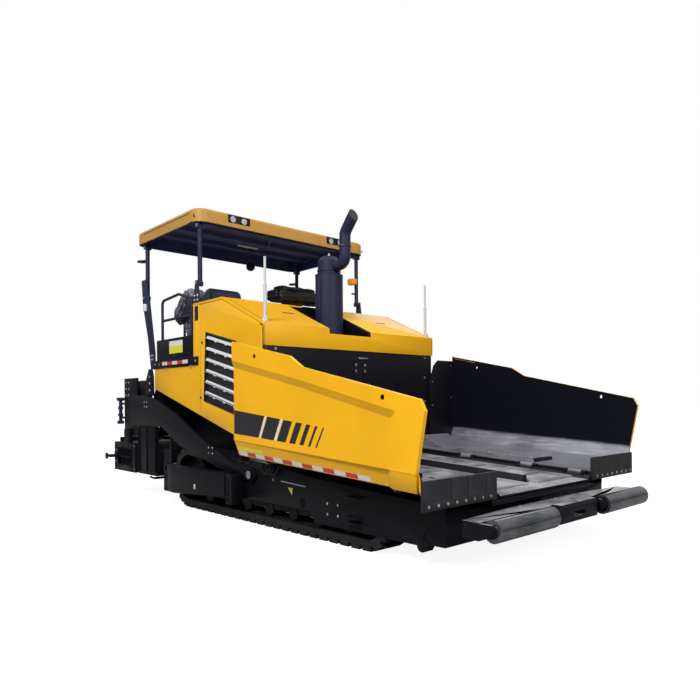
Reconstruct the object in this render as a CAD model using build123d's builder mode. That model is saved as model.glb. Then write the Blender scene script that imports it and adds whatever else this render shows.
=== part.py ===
from build123d import *

import os
from math import atan2, cos, degrees, hypot, pi, radians, sin, tan

os.makedirs("parts", exist_ok=True)

# An asphalt paver on tracks, in mm. X runs forward from mid-length, Y to the machine's left,
# Z up from the ground. Half widths are measured from the machine's centre line.

# Tractor
skin = 8
plate = 12
seat_gap = 0.3
run_fit = 0.3
run_gap = 8

# Tracks: a large drive sprocket behind, a smaller idler in front
track_width = 300
track_mid = 1040
sprocket_x = -1200
sprocket_r = 360
idler_x = 2030
idler_r = 250
shoe_count = 56
pad_height = 38
pad_fill = 0.8
belt_depth = 95
roller_r = 74
track_inner = track_mid - track_width / 2
track_outer = track_mid + track_width / 2
body_half = track_outer + 60

# Main frame and material tunnel
side_frame_y = track_outer + 12
side_frame_thick = 15
wall = 25
wall_half = track_inner - 40
tunnel_floor_z = 640
tunnel_roof_z = 1050
frame_bottom = 260
frame_rear = -1600

# Hopper: floor and wing hinges fall towards the front
fall = 3
hinge_y = 780
hinge_z = 717
hinge_r = 24
hinge_pin_r = 11
hinge_long = 140
hinge_stations = (700, 1500, 2300, 2850)
bearer_stations = (680, 1500, 2320)
trough_half = 690
floor_drop = 45
hopper_front = 3030
wing_half = 1630
wing_rear = 603
wing_skin = 10
press_depth = 22
lash_r = 20
lash_table = (
    # place and height of the lashing holes in a wing's wall
    (1000, 1675),
    (2690, 1290),
)

# Hood and engine bay
hood_front = 570
hood_ridge = -255
hood_rear = -930
hood_top = 2410
hood_brow = 2055
hood_chin = 1830
bulkhead_x = hood_front - skin - seat_gap
door_rear = -770
door_thick = 30
door_gap = 6
door_pin_x = hood_front - 32
door_pin_y = body_half - door_thick / 2
door_pin_r = 7
notch_half = 230
muffler_x = 40
muffler_r = 165
bulkhead_half = body_half - 45
sill_slope = -0.266
sill_z = 906

# Operator's platform
deck_rear = -1990
deck_z = 1790
deck_thick = 100
rail_r = 17

# Canopy and its folding posts
roof_front = -750
roof_rear = -2470
roof_half = 1290
roof_top = 3510
roof_depth = 160
roof_bottom = roof_top - roof_depth
post_r = 27
post_y = roof_half - 90
post_front_x = -850
post_rear_x = -2300
post_low = 2640
post_high = roof_bottom - 30

# Push beam
frame_nose = 2900
beam_pin_x = frame_nose + 60
roller_x = beam_pin_x + 350
roller_z = 345
push_r = 84
push_bore = 20.3
beam_half = 1150
beam_top = 400
beam_pin_r = 30
hump_half = 300

# Tow arms and screed, stored raised
tow_x = 310
tow_z = 510
arm_thick = 36
arm_y = body_half - 16
tow_pin_r = 30
screed_front = -2020
screed_rear = -2600
screed_half = body_half - 40
screed_bottom = 300
screed_top = 750
screed_split = 10
ext_front = screed_rear - 60
ext_rear = -3394
ext_mid = (ext_front + ext_rear) / 2
ext_top = 700
guide_x = -2960
guide_z = 830
guide_r = 46
guide_wall = 22

# Auger
auger_x = -1790
auger_z = 425
auger_r = 185
auger_core = 60
auger_end = body_half - 100
auger_pitch = 330
journal_r = 30


def side_on(y):
    """an upright plane along the machine, drawn with X to the right and Z up"""
    return Plane(origin=(0, y, 0), x_dir=(1, 0, 0), z_dir=(0, -1, 0))


def end_on(x):
    """an upright plane across the machine, drawn with Y to the right and Z up"""
    return Plane(origin=(x, 0, 0), x_dir=(0, 1, 0), z_dir=(1, 0, 0))


def level(z):
    """a level plane, drawn with X to the right and Y up"""
    return Plane.XY.offset(z)


# The hopper's own frame: its X axis falls with the floor, its Z is zero at the wing hinges
hopper = Location((0, 0, hinge_z), (0, fall, 0))


def in_hopper(plane):
    """a plane of the hopper's own frame"""
    return Plane(hopper * plane.location)


def slab(points, plane, thick, mode=Mode.ADD):
    """a plate of a closed outline, centred on a plane, in the open part"""
    with BuildSketch(plane.offset(-thick / 2)) as outline:
        with BuildLine():
            Polyline(*points, close=True)
        make_face()
    extrude(outline.sketch, amount=thick, mode=mode)


def block(xs, ys, zs, mode=Mode.ADD):
    """a box between pairs of limits, in the open part"""
    with Locations(((xs[0] + xs[1]) / 2, (ys[0] + ys[1]) / 2, (zs[0] + zs[1]) / 2)):
        Box(xs[1] - xs[0], ys[1] - ys[0], zs[1] - zs[0], mode=mode)


def rod(start, end, radius, mode=Mode.ADD):
    """a round bar between two points, in the open part"""
    axis = Vector(*end) - Vector(*start)
    with BuildSketch(Plane(origin=start, z_dir=axis)) as section:
        Circle(radius)
    extrude(section.sketch, amount=axis.length, mode=mode)


def ordered(a, b):
    """two limits, the lower first"""
    return (min(a, b), max(a, b))


def save(part, name):
    """label a finished piece and write it"""
    part.label = name
    export_step(part, "parts/" + name + ".step")


def sill(x):
    """height of the yellow side's slanting lower edge"""
    return sill_z + sill_slope * x


def hood_line(x):
    """height of the hood's top at a place along it"""
    if x < hood_ridge:
        return hood_top
    return hood_top - (x - hood_ridge) * (hood_top - hood_brow) / (hood_front - hood_ridge)


def floor_z(x):
    """height of the hopper's floor plates at a place along them"""
    return hinge_z - floor_drop - x * tan(radians(fall))


# Track loop: bottom run, rear turn, top run and front turn, both turns resting on the ground
loop_run = idler_x - sprocket_x
loop_tilt = 2 * atan2(idler_r - sprocket_r, loop_run)
turn_start = pi / 2 + loop_tilt
front_turn = idler_r * (turn_start + pi / 2)
rear_turn = sprocket_r * (3 * pi / 2 - turn_start)
loop_length = 2 * loop_run + front_turn + rear_turn


def loop_point(run, depth):
    """a point of the track's loop, a given way along it and below its outer face"""
    run = run % loop_length
    if run < loop_run:
        return (sprocket_x + run, depth)
    run = run - loop_run
    if run < front_turn:
        angle = run / idler_r - pi / 2
        reach = idler_r - depth
        return (idler_x + reach * cos(angle), idler_r + reach * sin(angle))
    run = run - front_turn
    if run < loop_run:
        reach_x = idler_x + (idler_r - depth) * cos(turn_start)
        reach_z = idler_r + (idler_r - depth) * sin(turn_start)
        return (reach_x - run * cos(loop_tilt), reach_z - run * sin(loop_tilt))
    run = run - loop_run
    angle = turn_start + run / sprocket_r
    reach = sprocket_r - depth
    return (sprocket_x + reach * cos(angle), sprocket_r + reach * sin(angle))


def loop_outline(depth, steps):
    """the track's loop as a closed outline at one depth, with round turns in short steps"""
    stops = [0, loop_run]
    stops += [loop_run + front_turn * i / steps for i in range(1, steps + 1)]
    stops += [loop_run + front_turn + loop_run]
    stops += [2 * loop_run + front_turn + rear_turn * i / steps for i in range(1, steps)]
    return [loop_point(s, depth) for s in stops]


loop_steps = 16
loop_sag = (sprocket_r - belt_depth) * (1 - cos(rear_turn / sprocket_r / loop_steps / 2))
pitch = loop_length / shoe_count
pads = []
for i in range(shoe_count):
    begin = (i + 0.1) * pitch
    for share, depth in ((0, pad_height), (0.04, 0), (pad_fill - 0.04, 0), (pad_fill, pad_height)):
        pads.append(loop_point(begin + share * pitch, depth))

for side, s in (("left", 1), ("right", -1)):
    with BuildPart() as track:
        slab(pads, side_on(s * track_mid), track_width)
        slab(loop_outline(belt_depth, loop_steps), side_on(s * track_mid), track_width, Mode.SUBTRACT)
    save(track.part, "track_" + side)

# Drive sprockets and idlers, four turned wheels
wheel_table = (
    # x, outer radius, rim depth
    (sprocket_x, sprocket_r, 50),
    (idler_x, idler_r, 40),
)
with BuildPart() as track_wheels:
    for s in (1, -1):
        for x, outer, rim in wheel_table:
            with BuildSketch(side_on(s * track_mid)):
                with Locations((x, outer)):
                    Circle(outer - belt_depth - loop_sag - seat_gap)
            extrude(amount=50, both=True)
            with BuildSketch(side_on(s * (track_mid + 50))):
                with Locations((x, outer)):
                    Circle(outer - belt_depth - rim)
                    Circle(70, mode=Mode.SUBTRACT)
            extrude(amount=s * 18, mode=Mode.SUBTRACT)
            with BuildSketch(side_on(s * track_mid)):
                with Locations((x, outer)):
                    Circle(62)
            extrude(amount=105, both=True)
save(track_wheels.part, "track_wheels")

# Track frames: a box beam over the bottom rollers, with slide shoes for the top run
beam_low = belt_depth + roller_r
beam_front = idler_x - 220
beam_back = sprocket_x + 330
roller_stations = [beam_back + 90 + i * (beam_front - beam_back - 200) / 6 for i in range(7)]
with BuildPart() as track_frames:
    for s in (1, -1):
        slab(
            [
                (beam_back, beam_low),
                (beam_front, beam_low),
                (beam_front, 330),
                (1400, 400),
                (beam_back, 470),
            ],
            side_on(s * track_mid),
            170,
        )
        for x in roller_stations:
            axle_z = beam_low + seat_gap
            rod((x, s * (track_mid - 90), axle_z), (x, s * (track_mid + 90), axle_z), roller_r)
        for x in (-300, 900):
            top = loop_point(loop_run + front_turn + (idler_x - x), belt_depth)[1] - seat_gap
            block((x - 110, x + 110), ordered(s * (track_mid - 40), s * (track_mid + 40)), (400, top - 12))
        block((100, 700), ordered(s * wall_half, s * track_mid), (280, 420))
        rod((sprocket_x, s * wall_half, sprocket_r), (sprocket_x, s * (track_mid - 106), sprocket_r), 150)
        # fork that holds the idler
        for low, high in ((-130, -110), (110, 130)):
            cheek = ordered(s * (track_mid + low), s * (track_mid + high))
            block((beam_front - 5, idler_x), cheek, (200, 300))
        fork = ordered(s * (track_mid - 130), s * (track_mid + 130))
        block((beam_front - 30, beam_front), fork, (200, 300))
save(track_frames.part, "track_frames")

# Main frame: two walls inside the tracks, with the tunnel's floor and roof between them
with BuildPart() as main_frame:
    walls = [
        (frame_rear, 420),
        (-900, frame_bottom),
        (2450, 200),
        (2450, floor_z(2450) - 20),
        (bulkhead_x, floor_z(bulkhead_x) - 20),
        (bulkhead_x - plate, floor_z(bulkhead_x) - 20),
        (bulkhead_x - plate, tunnel_roof_z),
        (-800, tunnel_roof_z),
        (-800, 1250),
        (frame_rear, 1250),
    ]
    for s in (1, -1):
        slab(walls, side_on(s * (wall_half - wall / 2)), wall)
    inner = wall_half - wall
    block((frame_rear, bulkhead_x - plate), (-inner, inner), (tunnel_roof_z - plate, tunnel_roof_z))
    block((frame_rear, bulkhead_x - plate), (-inner, inner), (tunnel_floor_z - plate, tunnel_floor_z))
    block((frame_rear, bulkhead_x), (-inner, inner), (300, 315))
    # bearers under the hopper's floor
    for u in bearer_stations:
        top = -floor_drop - plate - seat_gap
        slab(
            [(u - 30, top - 70), (u + 30, top - 70), (u + 30, top), (u - 30, top)],
            in_hopper(side_on(0)),
            2 * inner + 10,
        )
save(main_frame.part, "main_frame")

# Rear tank block that carries the platform, clear over the tracks
with BuildPart() as tanks:
    tank_low = 2 * sprocket_r + 60
    slab(
        [
            (-1900, 1300),
            (-1560, 1250 + seat_gap),
            (-800 + seat_gap, 1250 + seat_gap),
            (-800 + seat_gap, tunnel_roof_z + seat_gap),
            (-700, tunnel_roof_z + seat_gap),
            (-700, sill(-700) + 40),
            (-1100, deck_z - deck_thick),
            (-1900, deck_z - deck_thick),
        ],
        side_on(0),
        2 * wall_half,
    )
save(tanks.part, "tanks")

# Engine, one plain block on the tunnel's roof
with BuildPart() as engine:
    block((-560, 330), (-420, 420), (tunnel_roof_z, 1750))
    block((-300, 260), (-260, 260), (1750, 1900))
save(engine.part, "engine")

# Wing cylinders stand in the gap between the tracks and the front cross box. Their two pins are
# given in the hopper's own frame, from the centre line and the hinges' height, with the wing open
cylinder_u = 2372
cylinder_base = (track_mid - 80, -395)
cylinder_eye = (track_mid + 110, -35)
cylinder_pin_r = 13
cylinder_r = 38
cylinder_rod_r = 20
eye_bore = 31
eye_r = 43
cylinder_x = cylinder_eye[0] - cylinder_base[0]
cylinder_z = cylinder_eye[1] - cylinder_base[1]
cylinder_length = hypot(cylinder_x, cylinder_z)


def along_cylinder(s, way):
    """a point a given way up a wing cylinder, in the hopper's own frame"""
    share = way / cylinder_length
    return (s * (cylinder_base[0] + share * cylinder_x), cylinder_base[1] + share * cylinder_z)


def tube_up(s, low, high, radius, mode=Mode.ADD):
    """a round bar along a wing cylinder, in the open part"""
    y0, z0 = along_cylinder(s, low)
    y1, z1 = along_cylinder(s, high)
    start = (hopper * Location((cylinder_u, y0, z0))).position
    end = (hopper * Location((cylinder_u, y1, z1))).position
    rod(start, end, radius, mode)


def eye_across(s, way, radius, width, mode=Mode.ADD):
    """a round eye across a wing cylinder, in the open part"""
    with BuildSketch(in_hopper(end_on(cylinder_u - width / 2))) as eye:
        with Locations(along_cylinder(s, way)):
            Circle(radius)
    extrude(eye.sketch, amount=width, mode=mode)


for side, s in (("left", 1), ("right", -1)):
    with BuildPart() as barrel:
        tube_up(s, 20, 340, cylinder_r)
        eye_across(s, 0, 32, 60)
        eye_across(s, 0, cylinder_pin_r + run_fit, 62, Mode.SUBTRACT)
        tube_up(s, 40, 342, cylinder_rod_r + run_fit, Mode.SUBTRACT)
    save(barrel.part, "wing_barrel_" + side)
    with BuildPart() as wing_rod:
        with BuildSketch(in_hopper(end_on(cylinder_u - 21))):
            with Locations(along_cylinder(s, cylinder_length)):
                Circle(eye_r)
                Circle(eye_bore, mode=Mode.SUBTRACT)
        extrude(amount=42)
        tube_up(s, 50, cylinder_length - (eye_bore + eye_r) / 2, cylinder_rod_r)
    save(wing_rod.part, "wing_rod_" + side)

# Hopper front frame: cross box ahead of the tracks and the outer side frames
with BuildPart() as hopper_frame:
    block((2451, frame_nose), (-side_frame_y, side_frame_y), (170, 425))
    # ears and upright pin of the push beam
    for z in (beam_top - 160, beam_top + 5):
        block((frame_nose, beam_pin_x + 30), (-60, 60), (z, z + 20))
    rod((beam_pin_x, 0, beam_top - 150), (beam_pin_x, 0, beam_top + 15), beam_pin_r)
    # front cross tube under the floor's edge, on four brackets
    tube_x = hopper_front - 50
    rod((tube_x, -hinge_y + 20, 462), (tube_x, hinge_y - 20, 462), 30)
    for y in (-700, -240, 240, 700):
        slab(
            [
                (frame_nose - 60, 424),
                (frame_nose, 424),
                (tube_x, 445),
                (tube_x, 480),
                (frame_nose - 60, 480),
            ],
            side_on(y),
            16,
        )
    for s in (1, -1):
        slab(
            [
                (-60, 250),
                (1250, 250),
                (1330, 150),
                (2640, 150),
                (2740, 300),
                (2900, 420),
                (2900, 470),
                (1300, 560),
                (560, 640),
                (420, 640),
                (200, 600),
                (-60, 600),
            ],
            side_on(s * side_frame_y),
            side_frame_thick,
        )
        rod((2690, s * (side_frame_y + 30), 160), (2690, s * (side_frame_y - 60), 160), 50)
        # lashing lugs that stand out of the side frame
        for z in (225, 275, 445):
            slab(
                [
                    (idler_x - 230, s * side_frame_y),
                    (idler_x - 20, s * side_frame_y),
                    (idler_x - 40, s * (side_frame_y + 70)),
                    (idler_x - 180, s * (side_frame_y + 70)),
                ],
                level(z),
                14,
            )
        block((300, 520), ordered(s * wall_half, s * (side_frame_y + 7)), (625, 690))
        # base pin of the wing cylinder
        with BuildSketch(in_hopper(end_on(cylinder_u - 45))) as pin:
            with Locations((s * cylinder_base[0], cylinder_base[1])):
                Circle(cylinder_pin_r)
        extrude(pin.sketch, amount=160)
save(hopper_frame.part, "hopper_frame")

# Hopper floor between the wings, with raised sills and the middle chain cover
with BuildPart() as hopper_floor:
    run = hopper_front / cos(radians(fall))
    for s in (1, -1):
        with BuildSketch(in_hopper(end_on(bulkhead_x + 6))):
            with BuildLine():
                Polyline(
                    (0, -floor_drop),
                    (s * trough_half, -floor_drop),
                    (s * (hinge_y - 40), -10),
                    (s * (hinge_y - 40), -22),
                    (s * (trough_half + 4), -floor_drop - plate),
                    (0, -floor_drop - plate),
                    close=True,
                )
            make_face()
        extrude(amount=run - bulkhead_x - 6)
    with BuildSketch(in_hopper(end_on(bulkhead_x + 60))):
        with BuildLine():
            Polyline((-50, -floor_drop), (50, -floor_drop), (20, 30), (-20, 30), close=True)
        make_face()
    extrude(amount=run - bulkhead_x - 300)
    # wing hinge eyes and pins, on both sides of each wing barrel
    for s in (1, -1):
        for u in hinge_stations:
            for start in (u - hinge_long / 2 - 41, u + hinge_long / 2 + 1):
                with BuildSketch(in_hopper(end_on(start))):
                    with Locations((s * hinge_y, 0)):
                        Circle(hinge_r)
                    with Locations((s * (hinge_y - 26), -14)):
                        Rectangle(52, 16)
                extrude(amount=40)
            with BuildSketch(in_hopper(end_on(u - hinge_long / 2 - 10))):
                with Locations((s * hinge_y, 0)):
                    Circle(hinge_pin_r)
            extrude(amount=hinge_long + 20)
save(hopper_floor.part, "hopper_floor")

# Conveyors: two chain strands with cross bars each, one fixed loop through the tunnel
bar_pitch = 320
with BuildPart() as conveyors:
    for s in (1, -1):
        front = 2880
        rear = frame_rear - 40
        z_front = floor_z(front) + seat_gap
        z_mid = floor_z(bulkhead_x) + seat_gap
        for y in (95, 640):
            slab(
                [
                    (front, z_front),
                    (bulkhead_x, z_mid),
                    (rear, z_mid),
                    (rear, z_mid + 22),
                    (bulkhead_x, z_mid + 22),
                    (front, z_front + 22),
                ],
                side_on(s * y),
                36,
            )
        count = int((front - rear) / bar_pitch)
        for i in range(count + 1):
            x = front - 40 - i * bar_pitch
            z = (floor_z(x) if x > bulkhead_x else floor_z(bulkhead_x)) + 2
            block((x - 20, x + 20), ordered(s * 80, s * 660), (z, z + 16))
save(conveyors.part, "conveyors")

# Bulkhead at the hopper's rear, with the two tunnel mouths
with BuildPart() as bulkhead:
    mouth = floor_z(bulkhead_x)
    with BuildSketch(end_on(bulkhead_x - plate / 2)):
        with BuildLine():
            Polyline(
                (-bulkhead_half, hood_chin + 60),
                (-bulkhead_half, 724),
                (-wall_half, 705),
                (-wall_half, mouth - 10),
                (wall_half, mouth - 10),
                (wall_half, 705),
                (bulkhead_half, 724),
                (bulkhead_half, hood_chin + 60),
                close=True,
            )
        make_face()
        for s in (1, -1):
            with Locations((s * 360, (mouth + tunnel_roof_z - plate) / 2)):
                Rectangle(640, tunnel_roof_z - plate - mouth + 30, mode=Mode.SUBTRACT)
    extrude(amount=plate / 2, both=True)
    # lower door pins
    for s in (1, -1):
        lug = sill(door_pin_x) - door_gap
        block(
            (door_pin_x - 22, bulkhead_x),
            ordered(s * (bulkhead_half - 30), s * (door_pin_y + 14)),
            (lug - 24, lug - 6),
        )
        rod((door_pin_x, s * door_pin_y, lug - 24), (door_pin_x, s * door_pin_y, lug + 45), door_pin_r)
save(bulkhead.part, "bulkhead")

# Wings: floor, folded lower band and outer wall in one pressing, hinged beside the trough
wall_outline = [
    (wing_rear, 775),
    (wing_rear, 1834),
    (wing_rear + 937, 1648),
    (wing_rear + 1117, 1546),
    (hopper_front + 22, 1272),
    (hopper_front + 68, 1192),
    (hopper_front - 10, 803),
    (hopper_front - 40, 629),
]
wall_in = wing_half - press_depth - wing_skin
wall_mid = wall_in + wing_skin / 2
fold_y = wall_in - 46
band = [
    # y, height over the hinge, for the floor, the slanting strip and the wall's foot
    (hinge_y + 30, 10),
    (fold_y - 200, 14),
    (fold_y, 66),
    (wing_half - press_depth, 215),
]
# pressed panel of the wall, as it shows on the outer face
pressing = [
    (wing_rear - 60, 1668),
    (wing_rear + 1097, 1439),
    (hopper_front - 208, 1192),
    (hopper_front - 308, 785),
    (wing_rear - 60, 918),
]
for side, s in (("left", 1), ("right", -1)):
    with BuildPart() as wing:
        under = [(s * y, z) for y, z in band]
        over = [(s * (y - 2), z + wing_skin) for y, z in band[:2]]
        over += [(s * (y - wing_skin), z + wing_skin * (i == 2)) for i, (y, z) in enumerate(band) if i > 1]
        with BuildSketch(in_hopper(end_on(400))) as section:
            with BuildLine():
                Polyline(*under, *reversed(over), close=True)
            make_face()
        extrude(amount=hopper_front)
        keep = [(wing_rear, 500), (wing_rear, 1400), (hopper_front - 10, 1400), (hopper_front - 10, 500)]
        slab(keep, side_on(s * wing_half), 2 * (wing_half - hinge_y), Mode.INTERSECT)
        # outer wall, with a proud rim round its pressed panel
        wall_points = [(wing_rear, 900), *wall_outline[1:7], (hopper_front - 20, 760)]
        slab(wall_points, side_on(s * wall_mid), wing_skin)
        slab(wall_points, side_on(s * (wing_half - press_depth / 2 - 0.5)), press_depth + 1)
        with BuildSketch(side_on(s * wing_half)):
            with BuildLine():
                Polyline(*pressing, close=True)
            make_face()
        extrude(amount=s * press_depth, taper=50, mode=Mode.SUBTRACT)
        for x, z in lash_table:
            rod((x, s * (wall_in - 5), z), (x, s * (wing_half + 5), z), lash_r, Mode.SUBTRACT)
        # the front strip follows the slanting foot down to the flap
        slab(
            [
                (s * (hinge_y + 40), 520),
                (s * (fold_y - 15), 520),
                (s * (wing_half - 40), 640),
                (s * (wing_half - 40), 690),
                (s * (fold_y - 15), 640),
                (s * (hinge_y + 40), 575),
            ],
            end_on(hopper_front - 16),
            12,
        )
        # raised cover plate on the wing's floor, with a ramp behind it
        with BuildSketch(in_hopper(side_on(s * (hinge_y + 60)))):
            with BuildLine():
                Polyline(
                    (wing_rear + 547, 15),
                    (wing_rear + 727, 62),
                    (hopper_front - 700, 62),
                    (hopper_front - 685, 15),
                    close=True,
                )
            make_face()
        extrude(amount=-s * 360)
        # deflector in the rear corner
        with BuildSketch(in_hopper(side_on(s * (hinge_y + 200)))):
            with BuildLine():
                Polyline((wing_rear + 20, 15), (wing_rear + 20, 150), (wing_rear + 357, 15), close=True)
            make_face()
        extrude(amount=-s * 480)
        # lugs and pin for the cylinder's rod
        for u in (cylinder_u - 38, cylinder_u + 26):
            with BuildSketch(in_hopper(end_on(u))) as lug:
                with BuildLine():
                    Polyline(
                        (s * (cylinder_eye[0] - 60), 18),
                        (s * (cylinder_eye[0] + 60), 18),
                        (s * (cylinder_eye[0] + 24), cylinder_eye[1] - 24),
                        (s * (cylinder_eye[0] - 24), cylinder_eye[1] - 24),
                        close=True,
                    )
                make_face()
            extrude(lug.sketch, amount=12)
        with BuildSketch(in_hopper(end_on(cylinder_u - 38))) as pin:
            with Locations((s * cylinder_eye[0], cylinder_eye[1])):
                Circle(cylinder_pin_r)
        extrude(pin.sketch, amount=76)
        # hinge barrels along the inner edge
        for u in hinge_stations:
            with BuildSketch(in_hopper(end_on(u - hinge_long / 2))) as eye:
                with Locations((s * hinge_y, 0)):
                    Circle(hinge_r)
                with Locations((s * (hinge_y + 30), 10 + wing_skin / 2)):
                    Rectangle(40, wing_skin)
                with Locations((s * hinge_y, 0)):
                    Circle(hinge_pin_r + run_fit, mode=Mode.SUBTRACT)
            extrude(eye.sketch, amount=hinge_long)
    save(wing.part, "wing_" + side)

    with BuildPart() as flap:
        outer = wing_half - 40
        flap_mid = hopper_front + 10 + seat_gap - 10
        slab(
            [(s * (hinge_y - 30), 500), (s * outer, 500), (s * outer, 712), (s * (hinge_y - 30), 712)],
            end_on(flap_mid),
            20,
        )
        # joints between the flap's segments
        for y in (hinge_y + 100, hinge_y + 320, hinge_y + 510):
            block((flap_mid + 6, flap_mid + 11), ordered(s * y - 3, s * y + 3), (499, 713), Mode.SUBTRACT)
        # steel strip that clamps the flap's foot
        block((flap_mid + 9, flap_mid + 16), ordered(s * hinge_y, s * (outer - 20)), (505, 560))
    save(flap.part, "hopper_flap_" + side)

# Hood: top and front skin with side lips and a notch round the muffler
with BuildPart() as hood:
    line = [
        (hood_rear, hood_line(hood_rear)),
        (hood_ridge, hood_top),
        (hood_front, hood_brow),
        (hood_front, hood_chin),
    ]
    inside = [
        (hood_front - skin, hood_chin),
        (hood_front - skin, hood_brow - skin),
        (hood_ridge, hood_top - skin),
        (hood_rear, hood_top - skin),
    ]
    slab(line + inside, side_on(0), 2 * body_half)
    for s in (1, -1):
        slab(
            line + [
                (hood_front - skin, hood_chin),
                (hood_front - skin, hood_brow - 25),
                (hood_ridge, hood_top - 25),
                (hood_rear, hood_top - 25),
            ],
            side_on(s * (body_half - skin / 2)),
            skin,
        )
    block((hood_rear, hood_rear + skin), (-body_half + 22, body_half - 22), (deck_z, hood_top))
    for s in (1, -1):
        top = hood_line(door_pin_x)
        block(
            (door_pin_x - 16, hood_front - skin),
            ordered(s * (door_pin_y - 45), s * (door_pin_y + 8)),
            (top - 19, top - 10),
        )
        rod((door_pin_x, s * door_pin_y, top - 70), (door_pin_x, s * door_pin_y, top - 12), door_pin_r)
    block(
        (muffler_x - muffler_r - 65, hood_front + 10),
        (-notch_half, notch_half),
        (hood_brow - 55, hood_top + 10),
        Mode.SUBTRACT,
    )
    # trough under the notch
    for y in (-notch_half, notch_half):
        slab(
            [
                (muffler_x - muffler_r - 65, hood_line(muffler_x - muffler_r - 65) - 4),
                (hood_front - skin, hood_brow - 6),
                (hood_front - skin, hood_brow - 60),
                (muffler_x - muffler_r - 65, hood_brow - 60),
            ],
            side_on(y),
            6,
        )
save(hood.part, "hood")

# Side doors with louvres
louvre_table = [2050 - 125 * i for i in range(7)]
louvre_opening = [
    (-635, 2060),
    (40, 1905),
    (40, 1110),
    (-690, 1270),
]
nose_top = hood_line(door_pin_x + door_thick / 2) - 25 - 2 * door_gap
for side, s in (("left", 1), ("right", -1)):
    y_mid = s * (body_half - door_thick / 2)
    with BuildPart() as door:
        slab(
            [
                (door_rear, sill(door_rear)),
                (door_rear, hood_top - 25 - door_gap),
                (hood_ridge, hood_top - 25 - door_gap),
                (door_pin_x - 45, hood_line(door_pin_x - 45) - 25 - door_gap),
                (door_pin_x - 45, nose_top),
                (door_pin_x, nose_top),
                (door_pin_x, sill(door_pin_x)),
            ],
            side_on(y_mid),
            door_thick,
        )
        # rounded front edge, centred on the hinge pins
        rod((door_pin_x, y_mid, sill(door_pin_x)), (door_pin_x, y_mid, nose_top), door_thick / 2)
        slab(louvre_opening, side_on(y_mid), door_thick + 2, Mode.SUBTRACT)
        for z in louvre_table:
            slab(
                [(-700, z - 60 + 15), (50, z - 60 - 157), (50, z - 60 - 172), (-700, z - 60)],
                side_on(y_mid),
                door_thick - 6,
            )
        for z in (sill(door_pin_x) - 10, hood_line(door_pin_x) - 80):
            rod(
                (door_pin_x, y_mid, z),
                (door_pin_x, y_mid, z + 60),
                door_pin_r + run_fit,
                Mode.SUBTRACT,
            )
    save(door.part, "side_door_" + side)

# Fixed rear side panels
with BuildPart() as side_panels:
    for s in (1, -1):
        slab(
            [
                (hood_rear, hood_top - 25 - seat_gap),
                (door_rear - door_gap, hood_top - 25 - seat_gap),
                (door_rear - door_gap, sill(door_rear)),
                (deck_rear, sill(deck_rear)),
                (deck_rear, deck_z - deck_thick - seat_gap),
                (hood_rear, deck_z - deck_thick - seat_gap),
            ],
            side_on(s * (body_half - 10)),
            20,
        )
save(side_panels.part, "side_panels")

# Muffler and its tail pipe
with BuildPart() as muffler:
    with BuildSketch(side_on(0)):
        with BuildLine():
            Polyline(
                (muffler_x, 1900 + seat_gap),
                (muffler_x + 60, 1900 + seat_gap),
                (muffler_x + 60, 2010),
                (muffler_x + muffler_r, 2040),
                (muffler_x + muffler_r, 2765),
                (muffler_x + 135, 2780),
                (muffler_x + 135, 2930),
                (muffler_x + 90, 2985),
                (muffler_x, 3005),
                close=True,
            )
        make_face()
    revolve(axis=Axis((muffler_x, 0, 0), (0, 0, 1)))
save(muffler.part, "muffler")

with BuildPart() as tail_pipe:
    with BuildLine() as bend:
        FilletPolyline(
            (muffler_x + 60, 0, 2856),
            (muffler_x + 300, 0, 2880),
            (muffler_x + 300, 0, 3260),
            (muffler_x + 430, 0, 3420),
            radius=90,
        )
    with BuildSketch(Plane(origin=bend.line @ 0, z_dir=bend.line % 0)):
        Circle(66)
    sweep()
    rod((muffler_x, 0, 2600), (muffler_x, 0, 3000), 135 + seat_gap, Mode.SUBTRACT)
    # slanting mouth
    slab(
        [(muffler_x + 320, 3460), (muffler_x + 560, 3360), (muffler_x + 560, 3700), (muffler_x + 320, 3700)],
        side_on(0),
        200,
        Mode.SUBTRACT,
    )
save(tail_pipe.part, "tail_pipe")

# Marker poles on the hood's front corners
with BuildPart() as marker_poles:
    for s in (1, -1):
        x = hood_front - 70
        z = hood_line(x)
        y = s * (body_half - 60)
        rod((x, y, z - 20), (x, y, 2440), 18)
        rod((x, y, 2440), (x, y, 2730), 13)
        rod((x, y, z - 20), (x, y, z + 28), 34)
    slab(
        [
            (hood_ridge, hood_top + seat_gap),
            (hood_front, hood_brow + seat_gap),
            (hood_front, hood_brow - 80),
            (hood_ridge, hood_brow - 80),
        ],
        side_on(0),
        2 * body_half,
        Mode.SUBTRACT,
    )
save(marker_poles.part, "marker_poles")

# Platform deck with its side bands
with BuildPart() as platform:
    deck_half = body_half - 22
    block((deck_rear, hood_rear - seat_gap), (-deck_half, deck_half), (deck_z - deck_thick, deck_z))
    for s in (1, -1):
        block(
            (deck_rear, door_rear - 30),
            ordered(s * (body_half + seat_gap), s * (body_half + 12)),
            (deck_z - deck_thick, deck_z),
        )
        block(
            (deck_rear, hood_rear - seat_gap),
            ordered(s * (body_half - 23), s * (body_half + 12)),
            (deck_z - deck_thick + 1, deck_z),
        )
save(platform.part, "platform")

with BuildPart() as side_boxes:
    for s in (1, -1):
        block(
            (deck_rear + 60, hood_rear - 10),
            ordered(s * (body_half - 220), s * body_half),
            (deck_z, deck_z + 260),
        )
save(side_boxes.part, "side_boxes")

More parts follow.
